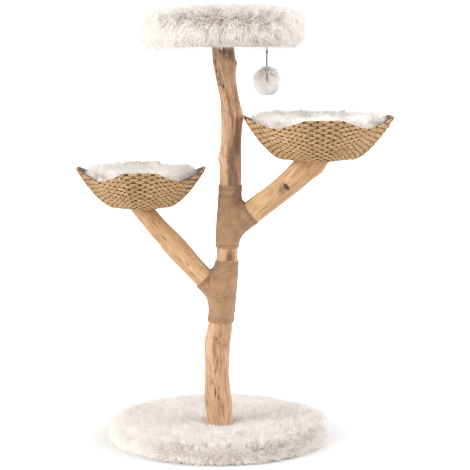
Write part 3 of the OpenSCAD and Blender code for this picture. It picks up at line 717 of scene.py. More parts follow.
def sleeve_piece(name, node, limb, z0, z1, seed, trunk_lines, limb_lines):
    """A Y-shaped sleeve: one tube round the trunk from z0 to z1 and one round the limb's root."""
    z = np.arange(z0, z1 + 0.1, 1.0)
    limb_start = np.array(limb[0][1:4], float)
    limb_way = unit(np.array(limb[1][1:4], float) - limb_start)

    def apart(points):
        """Distances from the outside of the trunk's tube and of the limb's, and along the limb."""
        away = points - limb_start
        along = away @ limb_way
        off = np.linalg.norm(away - along[..., None] * limb_way, axis=-1)
        at_trunk = [np.interp(points[..., 2], TRUNK_AT, TRUNK_V[:, k]) for k in range(2)]
        from_trunk = np.hypot(points[..., 0] - at_trunk[0], points[..., 1]) - at_trunk[1] - JUTE_THICK
        return from_trunk, off - limb[0][4] - JUTE_THICK + np.maximum(-along, 0), along

    def fillet(own):
        """A function that says how far a tube's cloth stands out to span the corner in a soft curve.

        own is 0 for the trunk's tube and 1 for the limb's.
        """

        def stand_out(points):
            gaps = apart(points)[:2]
            corner = FILLET / 4 * np.maximum(1 - np.abs(gaps[0] - gaps[1]) / FILLET, 0) ** 2
            under = 0.8 * smooth_between(gaps[own] - gaps[1 - own], 2, 8)
            return np.clip(gaps[own] - np.minimum(*gaps) + corner, 0, 16) - under

        return stand_out

    def painted_shade(points):
        """Painted shade: darker in the upper corner between trunk and limb, and a painted shadow on the
        limb's side above it.
        """
        from_trunk, from_limb, along = apart(points)
        above = smooth_between((points - limb_start)[..., 2] - along * limb_way[2], 5, 25)
        corner = 0.5 * above * np.exp(-((from_trunk / 8.0) ** 2) - (from_limb / 8.0) ** 2) * (along > 18)
        toward = (points[..., 0] - limb_start[0]) * np.sign(limb_way[0])
        side = smooth_between(toward, 2, 22) * smooth_between(points[..., 2] - limb_start[2], 40, 75)
        return np.maximum(corner, 0.40 * side * (0.8 + 0.4 * noise(points, 14, seed)))

    s = np.arange(COLLAR_START, COLLAR_END + 0.1, 1.0)
    on_trunk = wound_tube(*trunk_frame(z), z, seed, fillet(0), painted_shade, trunk_lines)
    on_limb = wound_tube(*limb_frame(limb, s), s, seed + 5, fillet(1), painted_shade, limb_lines)
    return place(make_mesh(name, *joined([on_trunk, on_limb])), "frame", JUTE, "jute", node)


sleeve_piece(
    "jute_sleeve_lower", "lower_jute_sleeve", LEFT_LIMB, 360, 550, 61,
    [(543, 1.3, 1.0), (538, 1.3, 1.0), (533, 1.3, 0.9), (368, 1.3, 0.9), (374, 1.2, 0.8)],
    [(79, 1.3, 0.9), (74, 1.3, 0.9)],
)
sleeve_piece(
    "jute_sleeve_upper", "upper_jute_sleeve", RIGHT_LIMB, 588, 777, 71,
    [(771, 1.3, 1.0), (766, 1.3, 1.0), (748, 1.3, 0.7), (743, 1.3, 0.9), (738, 1.3, 0.9), (596, 1.3, 0.8)],
    [(79, 1.3, 0.9), (73, 1.3, 0.9)],
)


# ---------------------------------------------------------------- baskets

SKIN_SIDES = 240
CORNER_HALF = 14.0
WALL_CURVE = 1.55
WEAVE = 8.0
PER_BULGE = 6
CENTRE_HOLE = 34
BASKET_TURN = math.radians(2)
SMALL = {"at": (-236, 20, 709), "r": 195, "floor": 84, "tip": 118, "dip": 85, "body": "small_cushion"}
LARGE = {"at": (292, -34, 859), "r": 224, "floor": 106, "tip": 126, "dip": 97, "body": "large_cushion"}


def from_corner(degrees):
    return np.abs((degrees + 45) % 90 - 45)


def outline_r(degrees, r):
    q = from_corner(degrees)
    vertex = r / math.cos(math.radians(CORNER_HALF))
    side = vertex * math.cos(math.radians(45 - CORNER_HALF)) / np.cos(np.radians(45 - q))
    return np.where(q < CORNER_HALF, r / np.cos(np.radians(q)), side)


def rim_height(degrees, b):
    q = np.maximum(from_corner(degrees) - CORNER_HALF, 0)
    return b["dip"] + (b["tip"] - b["dip"]) * np.maximum(1 - q / (45 - CORNER_HALF), 0) ** 1.7


def wall_point(degrees, t, b, depth):
    """Point of the basket's wall: t 0 at the floor's edge and 1 at the rim, depth inwards."""
    low = outline_r(degrees, b["floor"])
    across = outline_r(degrees, b["r"]) - low
    h = rim_height(degrees, b)
    up = h * WALL_CURVE * np.power(np.maximum(t, 0), WALL_CURVE - 1)
    slope = np.hypot(across, up)
    rho = low + across * t - depth * up / slope
    z = h * np.power(np.maximum(t, 0), WALL_CURVE) + depth * across / slope
    a = np.radians(degrees)
    return np.stack([rho * np.cos(a), rho * np.sin(a), z], axis=-1)


def turned(v):
    """Vectors turned with the basket about Z."""
    c, s = math.cos(BASKET_TURN), math.sin(BASKET_TURN)
    return np.stack([v[..., 0] * c - v[..., 1] * s, v[..., 0] * s + v[..., 1] * c, v[..., 2]], axis=-1)


def in_basket(points, b):
    """Points in the basket's own millimetres, as points of the whole model."""
    return (turned(points) + b["at"]) * MM


def even_angles(b, t, count):
    """Angles that divide the outline at t into equal lengths."""
    fine = np.linspace(0, 360, 2881)
    p = wall_point(fine, t, b, 0)
    length = distance_along(p)
    return np.interp(np.linspace(0, length[-1], count, endpoint=False), length, fine)


STRAND_SIDES = 8
STRAND_CREASE_SHADE = 0.55


def strand(path, out, wide, thick, attributes):
    """A closed, flattened loop of rope.

    path is (n, 3), out the outward direction at each point, and wide and thick half its width there.
    """
    along = unit(np.roll(path, -1, axis=0) - np.roll(path, 1, axis=0))
    out = unit(out - along * np.sum(out * along, axis=1, keepdims=True))
    side = np.cross(along, out)
    a = np.linspace(0, 2 * np.pi, STRAND_SIDES, endpoint=False)
    rings = path[:, None, :] + (
        thick[:, None, None] * np.cos(a)[None, :, None] * out[:, None, :]
        + wide[:, None, None] * np.sin(a)[None, :, None] * side[:, None, :]
    )
    n = len(path)
    out_attributes = {}
    for key, v in attributes.items():
        v = np.asarray(v, float)
        if v.ndim == 2:
            v = np.repeat(v[:, None, :], STRAND_SIDES, axis=1)
            v[..., 1] = a[None, :] * 4.5 * MM
            out_attributes[key] = v.reshape(-1, 3)
        else:
            # painted shade: the strand's two edges lie in the crease to its neighbours and are darkened there
            out_attributes[key] = np.maximum(v[:, None], STRAND_CREASE_SHADE * np.abs(np.sin(a)) ** 6).ravel()
    return rings.reshape(-1, 3), [grid_faces(n, STRAND_SIDES, wrap_rings=True)], out_attributes


def row_cord(along, row, seed):
    """Rope coordinates of a row, each row with its own place in the rope's pattern."""
    return np.stack([along * MM, 0 * along, np.full(len(along), row * 0.37 + seed)], -1)


def woven_basket(name, b, rows, stakes, seed, node):
    """Rows of rope over and under the stakes.

    Each bulge is a lens, and the lenses of one row fill the dips of the next.
    """
    count = stakes * PER_BULGE
    angles = even_angles(b, 0.8, count)
    k = np.arange(count)
    phase = k / PER_BULGE
    # equal spacing up the wall, measured on the line of a corner
    fine = np.linspace(0, 1, 400)
    line = wall_point(np.full(400, 10.0), fine, b, 0)
    up_length = distance_along(line)
    pitch = up_length[-1] / rows
    parts = []
    for row in range(rows):
        t = float(np.interp((row + 0.5) * pitch, up_length, fine))
        wave = np.cos(np.pi * (phase + row % 2))
        over = np.sign(wave) * np.abs(wave) ** 0.9
        jitter = noise(np.stack([k * 0.23, 0 * k + row * 3.7, 0 * k], -1), 1.0, seed)
        depth = 3.5 - 1.25 * over + 0.4 * jitter
        shift = 0.35 * noise(np.stack([k * 0.09, 0 * k + row * 5.1, 0 * k], -1), 1.0, seed + 3)
        path = wall_point(angles, np.full(count, t), b, depth)
        inner = wall_point(angles, np.full(count, t), b, depth + 1)
        out = path - inner
        path[:, 2] += 0.8 * jitter + shift
        along = distance_round(path)
        lens = np.clip(0.5 + 0.5 * wave, 0, 1) ** 0.8
        wide = pitch * (0.34 + 0.33 * lens) * (1 + 0.10 * jitter)
        thick = 1.7 + 0.55 * lens + 0.2 * jitter
        if row == rows - 1:
            wide, thick = wide * 0.82, thick + 0.3
        # painted shade where the strand dips behind a stake
        weave_shade = smooth_between(-wave - 0.12 * jitter, 0.62, 0.86)
        looks = {"cord": row_cord(along, row, seed), "weave_shade": weave_shade}
        parts.append(strand(in_basket(path, b), turned(out), wide * MM, thick * MM, looks))
    # the woven floor, in rings
    edge = outline_r(angles, b["floor"])
    rings = int((b["floor"] - CENTRE_HOLE) / pitch)
    for row in range(rings):
        share = 1 - (row + 0.5) / (rings + 0.5) * (1 - CENTRE_HOLE / b["floor"])
        over = np.cos(np.pi * (phase + row % 2 + 1))
        z = 3.6 - 1.6 * over
        a = np.radians(angles)
        path = np.stack([edge * share * np.cos(a), edge * share * np.sin(a), z], axis=-1)
        out = np.tile([0, 0, -1.0], (count, 1))
        along = distance_round(path)
        # painted shade where the floor's strand dips
        weave_shade = smooth_between(-over, 0.1, 0.95) * 0.7
        wide, thick = np.full(count, pitch * 0.55), np.full(count, 2.6)
        looks = {"cord": row_cord(along, row, 9 + seed), "weave_shade": weave_shade}
        parts.append(strand(in_basket(path, b), out, wide * MM, thick * MM, looks))
    obj = make_mesh(name, *joined(parts))
    return place(obj, "frame", ROPE, "paper_rope", node)


def basket_stakes(name, b, stakes, seed):
    """Upright stakes that the rows pass in front of and behind."""
    parts = []
    levels, sides, stake_r = 26, 6, 1.7
    angles = even_angles(b, 0.8, stakes)
    t = np.linspace(0.0, 0.985, levels)
    a = np.linspace(0, 2 * np.pi, sides, endpoint=False)
    for k, angle in enumerate(angles):
        path = wall_point(np.full(levels, angle), t, b, np.full(levels, 4.4))
        d = unit(np.gradient(path, axis=0))
        side = unit(np.cross(d, [0, 0, 1.0]))
        front = np.cross(side, d)
        rings = path[:, None, :] + stake_r * spokes(a[None, :], side, front)
        pattern = np.full((levels, sides), 20 + k * 0.3 + seed)
        cord_at = np.stack(np.broadcast_arrays(t[:, None] * 0.17, a[None, :] * 0.002, pattern), -1)
        # painted shade: the stakes behind the rows are darkened all over
        looks = {"cord": cord_at, "weave_shade": np.full((levels, sides), 0.45)}
        parts.append(closed_tube(in_basket(rings, b), looks))
    return place(make_mesh(name, *joined(parts)), "frame", ROPE, "paper_rope")


def basket_shade_core(name, b):
    """Thin core in the middle of the wall, so that no light passes between the rows; its near-black colour is
    painted shade.
    """
    degrees = np.linspace(0, 360, SKIN_SIDES, endpoint=False)
    levels = np.linspace(0.02, 0.965, 24)
    whole = np.ones(SKIN_SIDES)
    outer = [wall_point(degrees, whole * t, b, whole * 5.6) for t in levels]
    inner = [wall_point(degrees, whole * t, b, whole * 6.6) for t in levels[::-1]]
    points = in_basket(np.stack(outer + inner), b)
    faces = [grid_faces(2 * len(levels), SKIN_SIDES, wrap_rings=True)]
    obj = make_mesh(name, points.reshape(-1, 3), faces)
    return place(obj, "frame", SHADE_CORE_CLOTH, "paper_rope")


for label, b, rows, stakes, seed in (("small", SMALL, 18, 64, 5), ("large", LARGE, 19, 72, 9)):
    woven_basket(f"{label}_basket_rope", b, rows, stakes, seed, f"{label}_basket_weave")
    basket_stakes(f"{label}_basket_stakes", b, stakes, seed)
    basket_shade_core(f"{label}_basket_core", b)


# ---------------------------------------------------------------- fur


def triangles_of(faces):
    tris = []
    for f in faces:
        f = np.asarray(f)
        for k in range(1, f.shape[1] - 1):
            tris.append(f[:, [0, k, k + 1]])
    return np.concatenate(tris)


def scatter(points, faces, spacing, seed, keep=None):
    """Even points on a mesh's surface with its normals."""
    rng = np.random.default_rng(seed)
    tris = triangles_of(faces)
    a, b, c = points[tris[:, 0]], points[tris[:, 1]], points[tris[:, 2]]
    normal = np.cross(b - a, c - a)
    area = np.linalg.norm(normal, axis=1) / 2
    total = int(area.sum() / spacing**2 * 3.2)
    pick = rng.choice(len(tris), total, p=area / area.sum())
    u, v = rng.random(total), rng.random(total)
    flip = u + v > 1
    u[flip], v[flip] = 1 - u[flip], 1 - v[flip]
    p = a[pick] + u[:, None] * (b[pick] - a[pick]) + v[:, None] * (c[pick] - a[pick])
    # smooth normals: mean over each vertex's triangles
    vn = np.zeros_like(points)
    for k in range(3):
        np.add.at(vn, tris[:, k], normal)
    vn = unit(vn)
    w = (1 - u - v)[:, None]
    n = unit(w * vn[tris[pick, 0]] + u[:, None] * vn[tris[pick, 1]] + v[:, None] * vn[tris[pick, 2]])
    if keep is not None:
        ok = keep(p, n)
        p, n = p[ok], n[ok]
    # one point to a cell, so that the spacing is even
    cell = np.floor(p / (spacing * 0.82)).astype(np.int64)
    key = cell[:, 0] * 73856093 ^ cell[:, 1] * 19349663 ^ cell[:, 2] * 83492791
    _, first = np.unique(key, return_index=True)
    first.sort()
    return p[first], n[first]


ROOT_DEPTH = 0.0015
HAIRS_PER_PIECE = 18500


def hairs(p, n, direction, bend, length, radius, tone, dark, floor, confine, lift):
    """Closed tapered hairs: two rings of three points and a tip, shaded mostly as the skin below."""
    count = len(p)
    levels = (0.0, 0.5)
    widths = (1.0, 0.8)
    start = p - direction * ROOT_DEPTH
    side = unit(np.cross(direction, noise_vector(p, 0.0031, 901) + 1e-3))
    other = np.cross(direction, side)
    rings, normals = [], []
    soft = unit(n + 0.3 * direction + lift)
    for level, width in zip(levels, widths):
        centre = start + length[:, None] * (direction * level + bend * level**2)
        for k in range(3):
            a = 2 * np.pi * k / 3
            spoke = math.cos(a) * side + math.sin(a) * other
            rings.append(centre + (radius * width)[:, None] * spoke)
            normals.append(unit(soft + 0.40 * spoke))
    tip = start + length[:, None] * (direction + bend)
    points = np.stack([*rings, tip], axis=1).reshape(-1, 3)
    points[:, 2] = np.maximum(points[:, 2], floor + 0.0002 * np.tile(np.arange(7), count))
    if confine is not None:
        points = confine(points)
    normals = np.stack([*normals, soft], axis=1).reshape(-1, 3)
    base = (np.arange(count) * 7)[:, None]
    quads = [base + [k, (k + 1) % 3, 3 + (k + 1) % 3, 3 + k] for k in range(3)]
    tris = [base + [3 + k, 3 + (k + 1) % 3, 6] for k in range(3)] + [base + [2, 1, 0]]
    at = np.tile([0, 0, 0, 0.5, 0.5, 0.5, 1.0], count)
    return points, [np.concatenate(quads), np.concatenate(tris)], {
        "tip": at, "tone": np.repeat(tone, 7), "dark": np.repeat(dark, 7)}, normals


def fur_coat(name, body, skin, spacing, length, radius, comb, seed, nodes, *, keep=None, upright,
             clump, clump_size, shade=None, droop, floor=-9.0, stretch=None,
             confine=None, extra=None, lift=(0, 0, 0.6), sheer=False):
    """A skin and its long pile, with hairs at the given spacing.

    For points p with normals n: comb gives the way the pile is brushed, keep says where it grows,
    extra where it grows twice as thick, shade how far it parts and stretch its share of the length.
    confine moves hairs' points. lift turns the shading's normals, and sheer pile lets light through.
    """
    points, faces = skin
    rng = np.random.default_rng(seed)
    p, n = scatter(points, faces, spacing, seed, keep)
    if extra is not None:
        more = scatter(points, faces, spacing, seed + 1, extra)
        p, n = np.concatenate([p, more[0]]), np.concatenate([n, more[1]])
    brushed = comb(p, n)
    lean = noise_vector(p, clump_size, seed + 31) + 0.6 * noise_vector(p, clump_size * 0.45, seed + 41)
    lean = lean - n * np.sum(lean * n, axis=1, keepdims=True)
    dark = np.zeros(len(p)) if shade is None else shade(p, n)
    loose = rng.normal(0, 0.10, p.shape)
    direction = unit(n * upright + brushed + lean * (clump * (1 + 0.5 * dark))[:, None] + loose)
    bend = brushed * 0.35 + lean * 0.25 + rng.normal(0, 0.06, p.shape) + [0, 0, -droop]
    size = length * (0.82 + 0.28 * rng.random(len(p)))
    size = size * (1 + 0.35 * clump * noise(p, clump_size * 1.4, seed + 51))
    if stretch is not None:
        size = size * stretch(p, n)
    tone = np.clip(0.30 + 0.5 * rng.random(len(p)) + 0.35 * noise(p, 0.02, seed + 61), 0, 1)
    # painted shade: where the pile parts, some hairs stay short and dark between the long pale ones
    shadow_hair = rng.random(len(p)) < 0.95 * dark
    dark = np.where(shadow_hair, 0.45 + 0.55 * dark, 0.20 * dark)
    size = size * np.where(shadow_hair, 0.90, 1.0)
    made = []
    whole = np.ones(len(points))
    looks = {"tip": whole * 0.15, "tone": whole * 0.5, "dark": skin_dark(points, shade)}
    base = make_mesh(name, points, faces, looks)
    base.data.materials.append(FUR)
    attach(base, body)
    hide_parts(*nodes)
    parts = max(1, math.ceil(len(p) / HAIRS_PER_PIECE))
    order = np.argsort(np.arctan2(p[:, 1] - p[:, 1].mean(), p[:, 0] - p[:, 0].mean()))
    for k, chosen in enumerate(np.array_split(order, parts)):
        *coat, normals = hairs(
            p[chosen], n[chosen], direction[chosen], bend[chosen], size[chosen],
            np.full(len(chosen), radius), tone[chosen], np.clip(dark[chosen], 0, 1), floor, confine, lift,
        )
        obj = make_mesh(f"{name}_pile_{k + 1}", *coat)
        obj.data.normals_split_custom_set_from_vertices(normals.tolist())
        obj.data.materials.append(FUR)
        obj.visible_shadow = False
        obj.visible_diffuse = not sheer
        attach(obj, body)
        made.append(obj)
    return base, made


def skin_dark(points, shade):
    if shade is None:
        return np.zeros(len(points))
    return np.clip(shade(points, unit(points * [0, 0, 1] + [0, 0, 1e-6])), 0, 1)


def lathe(profile, sides, wobble):
    """A closed ring of revolution about Z through a closed profile of (radius, height)."""
    profile = np.array(profile, float)
    a = np.linspace(0, 2 * np.pi, sides, endpoint=False)
    level = np.repeat(profile[:, 1, None], sides, 1)
    rings = np.stack([profile[:, 0, None] * np.cos(a), profile[:, 0, None] * np.sin(a), level], axis=-1)
    return wobble(rings.reshape(-1, 3)), [grid_faces(len(profile), sides, wrap_rings=True)]


# ---- base cushion
base_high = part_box("base_plush")[1]
BASE_R = base_high.x
BASE_TOP = base_high.z
HOLE = 0.042
EDGE_R = 0.028
SEAM_R = HOLE + 0.2


def base_skin():
    """The cover, from the hole for the trunk over the top and the rounded edge to the seam below."""
    top = BASE_TOP
    profile = []
    for r in np.linspace(HOLE, BASE_R - EDGE_R, 34):
        t = smooth_between(r, 0.05, 0.24)
        profile.append((r, top - 0.010 * (1 - t) - 0.006 * np.exp(-((r - HOLE) / 0.02) ** 2)))
    for a in np.linspace(85, -60, 16):
        q = math.radians(a)
        profile.append((BASE_R - EDGE_R + EDGE_R * math.cos(q), top - 0.026 + 0.026 * math.sin(q)))
    profile += [(BASE_R - 0.018, 0.0036), (BASE_R - 0.04, 0.0034), (SEAM_R, 0.0034)]
    profile += [(SEAM_R, 0.0044), (BASE_R - 0.03, 0.0046), (BASE_R - 0.012, 0.012)]
    profile += [(BASE_R - 0.03, top - 0.012), (HOLE, top - 0.022)]

    def wobble(p):
        lift = 0.0035 * noise(p, 0.09, 5) + 0.0015 * noise(p, 0.035, 6)
        high = smooth_between(p[:, 2], 0.02, 0.04)
        q = p.copy()
        q[:, 2] += lift * high
        return q

    return lathe(profile[::-1], 200, wobble)


def base_comb(p, n):
    """Brushed a little outwards and round, and lifted at the edge."""
    out, swirl, r = outward(p)
    side = smooth_between(r, BASE_R - 0.045, BASE_R - 0.005)
    return (
        out * (0.12 - 0.05 * side)[:, None]
        + swirl * (0.22 * noise(p, 0.12, 77))[:, None]
        - DOWN * (0.20 * side)[:, None]
    )


def base_keep(p, n):
    """No pile underneath or in the hole."""
    return (p[:, 2] > 0.007) & (np.hypot(p[:, 0], p[:, 1]) > HOLE + 0.001) & (n[:, 2] > -0.6)


def base_shoulder(p, n):
    """The rounded edge, where the pile fans out and needs twice the hairs."""
    return base_keep(p, n) & (np.hypot(p[:, 0], p[:, 1]) > BASE_R - 0.034)


def base_stretch(p, n):
    """Longer pile round the edge, where it fans out past the board."""
    return 1 + 0.20 * smooth_between(np.hypot(p[:, 0], p[:, 1]), BASE_R - 0.030, BASE_R - 0.004)


def base_shade(p, n):
    """Painted shade: dark partings along the rim towards the front right."""
    angle = np.degrees(np.arctan2(p[:, 1], p[:, 0]))
    front = np.exp(-(((angle + 55) / 42) ** 2))
    r = np.hypot(p[:, 0], p[:, 1])
    band = np.exp(-(((r - (BASE_R - 0.022)) / 0.020) ** 2)) * smooth_between(p[:, 2], 0.015, 0.03)
    streak = smooth_between(noise(p, 0.0048, 91), 0.0, 0.5)
    streak = streak * (0.4 + 0.8 * smooth_between(noise(p, 0.03, 92), -0.4, 0.4))
    return np.clip(front * band * streak, 0, 1)


DENSE = 1.0

fur_coat(
    "base_plush_fur", "frame", base_skin(), 0.0031 * DENSE, 0.0205, 0.00055 * DENSE, base_comb, 101,
    ["base_plush"], keep=base_keep, extra=base_shoulder, shade=base_shade, stretch=base_stretch,
    upright=1.0, clump=0.20, clump_size=0.012, droop=0.12, floor=0.0015,
)


# ---- perch
perch_low, perch_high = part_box("perch_plush")
PERCH_X = 0.011
PERCH_R = 0.232
NOTCH_ANGLE = 270.0
PERCH_BOTTOM, PERCH_TOP = perch_low.z, perch_high.z


def petal(degrees, depth):
    """Share of the perch's radius at each angle, with five notches of the given depth."""
    return 1 - depth * (1 - np.abs(np.sin(np.radians(2.5 * (degrees - NOTCH_ANGLE)))) ** 0.7)


AROUND_PERCH = np.linspace(0, 360, SKIN_SIDES, endpoint=False)


def petal_ring(share, z, depth):
    """A ring of the perch at a share of its radius, with notches of the given depth."""
    a = np.radians(AROUND_PERCH)
    r = PERCH_R * share * petal(AROUND_PERCH, depth)
    return np.stack([PERCH_X + r * np.cos(a), r * np.sin(a), np.full(SKIN_SIDES, z)], -1)


def perch_skin():
    height = PERCH_TOP - PERCH_BOTTOM
    # share of the radius, share of the height, how deep the petals' notches cut
    profile = [(0.80, 0.05, 0.09), (0.88, 0.03, 0.10), (0.93, 0.06, 0.10)]
    for q in np.linspace(-62, 80, 18):
        s = math.radians(q)
        profile.append((0.86 + 0.145 * math.cos(s), 0.46 + (0.36 if q < 0 else 0.38) * math.sin(s), 0.11))
    profile += [(0.80, 0.885, 0.09), (0.68, 0.935, 0.07), (0.54, 0.97, 0.05), (0.40, 0.99, 0.03)]
    profile += [(0.26, 1.0, 0.01), (0.12, 1.0, 0.0)]
    rings = [petal_ring(share, PERCH_BOTTOM + h * height, depth) for share, h, depth in profile]
    rings = np.stack(rings)
    # folds between petals run up and over the edge
    off_notch = np.degrees(np.arcsin(np.abs(np.sin(np.radians(2.5 * (AROUND_PERCH - NOTCH_ANGLE))))))
    fold = np.exp(-((off_notch / 12) ** 2))
    high = smooth_between(rings[..., 2], PERCH_BOTTOM + 0.5 * height, PERCH_TOP)
    away = np.hypot(rings[..., 0] - PERCH_X, rings[..., 1]) / PERCH_R
    rings[..., 2] -= 0.007 * fold[None, :] * high * smooth_between(away, 0.25, 0.75)
    # the right petal is the plumpest
    rings[..., 2] += 0.006 * high * smooth_between(rings[..., 0] - PERCH_X, 0.08, 0.17)
    # the under side of the cover, against the board
    seams = ((0.10, 0.012), (0.76, 0.012), (0.785, 0.004))
    under = [petal_ring(share, PERCH_BOTTOM + h, 0.12) for share, h in seams]
    rings = np.concatenate([np.stack(under), rings])
    points = rings.reshape(-1, 3)
    above = smooth_between(points[:, 2], PERCH_BOTTOM + 0.01, PERCH_BOTTOM + 0.03)
    points = points + noise_vector(points, 0.06, 15) * [0.003, 0.003, 0.002] * above[:, None]
    middles = [[PERCH_X, 0, PERCH_TOP], [PERCH_X, 0, PERCH_BOTTOM + 0.012]]
    return np.concatenate([points, middles]), closed_ends(len(rings), SKIN_SIDES)


def perch_comb(p, n):
    """Brushed outwards on top and down at the side, where it fans out from each notch."""
    q = p - [PERCH_X, 0, 0]
    out, swirl, _ = outward(q)
    side = smooth_between(1 - n[:, 2], 0.15, 0.9)
    degrees = np.degrees(np.arctan2(q[:, 1], q[:, 0]))
    away = (degrees - NOTCH_ANGLE + 36) % 72 - 36
    fan = np.clip(away / 36, -1, 1) * np.exp(-np.abs(away) / 20) * 1.1
    brushed = out * (0.25 - 0.1 * side)[:, None] + DOWN * (0.50 * side)[:, None]
    return brushed + swirl * (fan * side)[:, None]


def perch_keep(p, n):
    """No pile underneath or at the middle of the top."""
    return (n[:, 2] > -0.75) & (np.hypot(p[:, 0] - PERCH_X, p[:, 1]) > 0.02)


def perch_shoulder(p, n):
    """The rounded side, which needs twice the hairs."""
    return perch_keep(p, n) & (np.hypot(p[:, 0] - PERCH_X, p[:, 1]) > 0.15) & (n[:, 2] > -0.3)


def perch_stretch(p, n):
    """Shorter pile under the edge, so that the lower outline stays neat; the left petal hangs lower."""
    low = 1 - smooth_between(p[:, 2], PERCH_BOTTOM + 0.005, PERCH_BOTTOM + 0.045)
    left = smooth_between(-(p[:, 0] - PERCH_X), 0.08, 0.15)
    return 1 - 0.5 * low * (1 - 0.7 * left)


def perch_shade(p, n):
    """Painted shade: dark streaks over the front, densest in a band below the top, and a dark line in the
    fold at each notch.
    """
    height = (p[:, 2] - PERCH_BOTTOM) / (PERCH_TOP - PERCH_BOTTOM)
    degrees = np.degrees(np.arctan2(p[:, 1], p[:, 0] - PERCH_X))
    front = np.exp(-(((degrees + 90) / 45) ** 4))
    band = np.exp(-(((height - 0.74) / 0.20) ** 2)) + 0.30 * np.exp(-(((height - 0.32) / 0.28) ** 2))
    away = (degrees - NOTCH_ANGLE + 36) % 72 - 36
    valley = np.exp(-((away / 1.8) ** 2)) * 0.7 * smooth_between(height, 0.1, 0.4)
    # thin streaks that follow the pile
    fan = np.clip(away / 36, -1, 1) * np.exp(-np.abs(away) / 20) * 2.2
    across = PERCH_R * np.radians(away) + fan * (p[:, 2] - PERCH_TOP) + 0.002 * noise(p, 0.009, 94)
    lines = np.stack([across, 0.05 * degrees, 0.20 * (p[:, 2] - 0.5 * p[:, 1])], -1)
    streak = smooth_between(noise(lines, 0.0036, 95), 0.0, 0.42)
    patch = 0.35 + 0.85 * smooth_between(noise(p, 0.030, 96), -0.35, 0.35)
    return np.clip(front * band * streak * patch * 1.5 + valley * (0.4 + 0.6 * streak), 0, 1)


fur_coat(
    "perch_plush_fur", "frame", perch_skin(), 0.0033 * DENSE, 0.023, 0.00060 * DENSE, perch_comb, 103,
    ["perch_plush"], keep=perch_keep, extra=perch_shoulder, shade=perch_shade, stretch=perch_stretch,
    upright=0.8, clump=0.42, clump_size=0.012, droop=0.15,
)


# ---- basket cushions
CUSHION_SIDES = 144


def cushion_skin(b, node, seed):
    """A lumpy round pad that follows the basket's wall and bulges below the rim."""
    low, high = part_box(node)
    z0 = low.z / MM - b["at"][2]
    top = high.z / MM - b["at"][2]
    degrees = np.linspace(0, 360, CUSHION_SIDES, endpoint=False)
    a = np.radians(degrees)
    # share of the height and of the basket's width there
    profile = [
        (0.0, 0.80), (0.02, 0.92), (0.25, 0.985), (0.5, 0.99), (0.72, 0.985), (0.88, 0.96),
        (0.97, 0.91), (1.0, 0.84), (0.98, 0.76), (0.92, 0.68), (0.86, 0.58), (0.81, 0.46),
        (0.78, 0.33), (0.77, 0.18),
    ]
    rings = []
    d = WEAVE + 6
    for share_z, share_r in profile:
        z = z0 + (top - z0) * share_z
        t = np.power(np.clip((z - 0.8 * d) / rim_height(degrees, b), 0.01, 1), 1 / WALL_CURVE)
        p = wall_point(degrees, t, b, np.full(CUSHION_SIDES, float(d)))
        rho = np.hypot(p[:, 0], p[:, 1]) * share_r
        rings.append(np.stack([rho * np.cos(a), rho * np.sin(a), np.full(CUSHION_SIDES, z)], -1))
    rings = smooth_rings(np.stack(rings))
    points = rings.reshape(-1, 3)
    lumps = 2.2 * noise(points, 40, seed) + 1.0 * noise(points, 17, seed + 3)
    points[:, 2] += lumps * smooth_between(points[:, 2], z0 + 20, z0 + 40)
    points = np.concatenate([points, [[0, 0, z0 + (top - z0) * 0.77]], [[0, 0, z0]]])
    return in_basket(points, b), closed_ends(len(profile), CUSHION_SIDES)


def smooth_rings(rings):
    """Rounds the corners of each ring a little."""
    for _ in range(6):
        rings = 0.5 * rings + 0.25 * (np.roll(rings, 1, axis=1) + np.roll(rings, -1, axis=1))
    return rings


for label, b, seed in (("small", SMALL, 201), ("large", LARGE, 211)):
    centre = np.array(b["at"]) * MM

    def cushion_comb(p, n, centre=centre):
        """Brushed a little inwards, and tousled."""
        return -outward(p - centre)[0] * 0.10 + noise_vector(p, 0.05, 33) * 0.35

    node = f"{label}_basket_cushion"
    floor_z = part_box(node)[0].z

    def cushion_keep(p, n, floor_z=floor_z):
        return (p[:, 2] > floor_z + 0.050) & (n[:, 2] > -0.1)

    def inside_wall(points, b=b):
        """Keeps the pile inside the basket, and lets it spill a little over the rim."""
        q = points / MM - b["at"]
        c, s = math.cos(BASKET_TURN), math.sin(BASKET_TURN)
        x, y = q[:, 0] * c + q[:, 1] * s, -q[:, 0] * s + q[:, 1] * c
        degrees = np.degrees(np.arctan2(y, x))
        rim = rim_height(degrees, b)
        t = np.power(np.clip(q[:, 2] / rim, 0.01, 1.0), 1 / WALL_CURVE)
        wall = wall_point(degrees, t, b, np.full(len(t), WEAVE + 2.5))
        most = np.hypot(wall[:, 0], wall[:, 1]) + 7 * smooth_between(q[:, 2] - rim, 2, 10)
        rho = np.hypot(x, y)
        share = np.minimum(1, most / np.maximum(rho, 1e-6))
        q[:, 0] *= share
        q[:, 1] *= share
        return (q + b["at"]) * MM

    skin = cushion_skin(b, node, seed)
    fur_coat(
        f"{node}_fur", b["body"], skin, 0.0033 * DENSE, 0.032, 0.00060 * DENSE, cushion_comb, seed,
        [node], keep=cushion_keep, confine=inside_wall, upright=0.95, clump=0.75, clump_size=0.020,
        droop=0.0, sheer=True,
    )


# ---- hanging ball
ball_low, ball_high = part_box("toy_ball")
BALL = np.array((ball_low + ball_high) / 2)


def ball_skin():
    levels, sides, radius = 24, 40, 0.030
    a = np.linspace(0, 2 * np.pi, sides, endpoint=False)
    rings = []
    for q in np.radians(np.linspace(-85, 85, levels)):
        rings.append(np.stack([np.cos(q) * np.cos(a), np.cos(q) * np.sin(a), np.full(sides, np.sin(q))], -1))
    points = np.concatenate([np.array(rings).reshape(-1, 3), [[0, 0, 1]], [[0, 0, -1]]]) * radius
    points = points * (1 + 0.03 * noise(points, 0.02, 8))[:, None] + BALL
    return points, closed_ends(levels, sides)


def ball_comb(p, n):
    """Brushed down all round from the knot at the top."""
    q = unit(p - BALL)
    return (DOWN - q * (q @ DOWN)[:, None]) * 0.35 + noise_vector(p, 0.03, 44) * 0.15


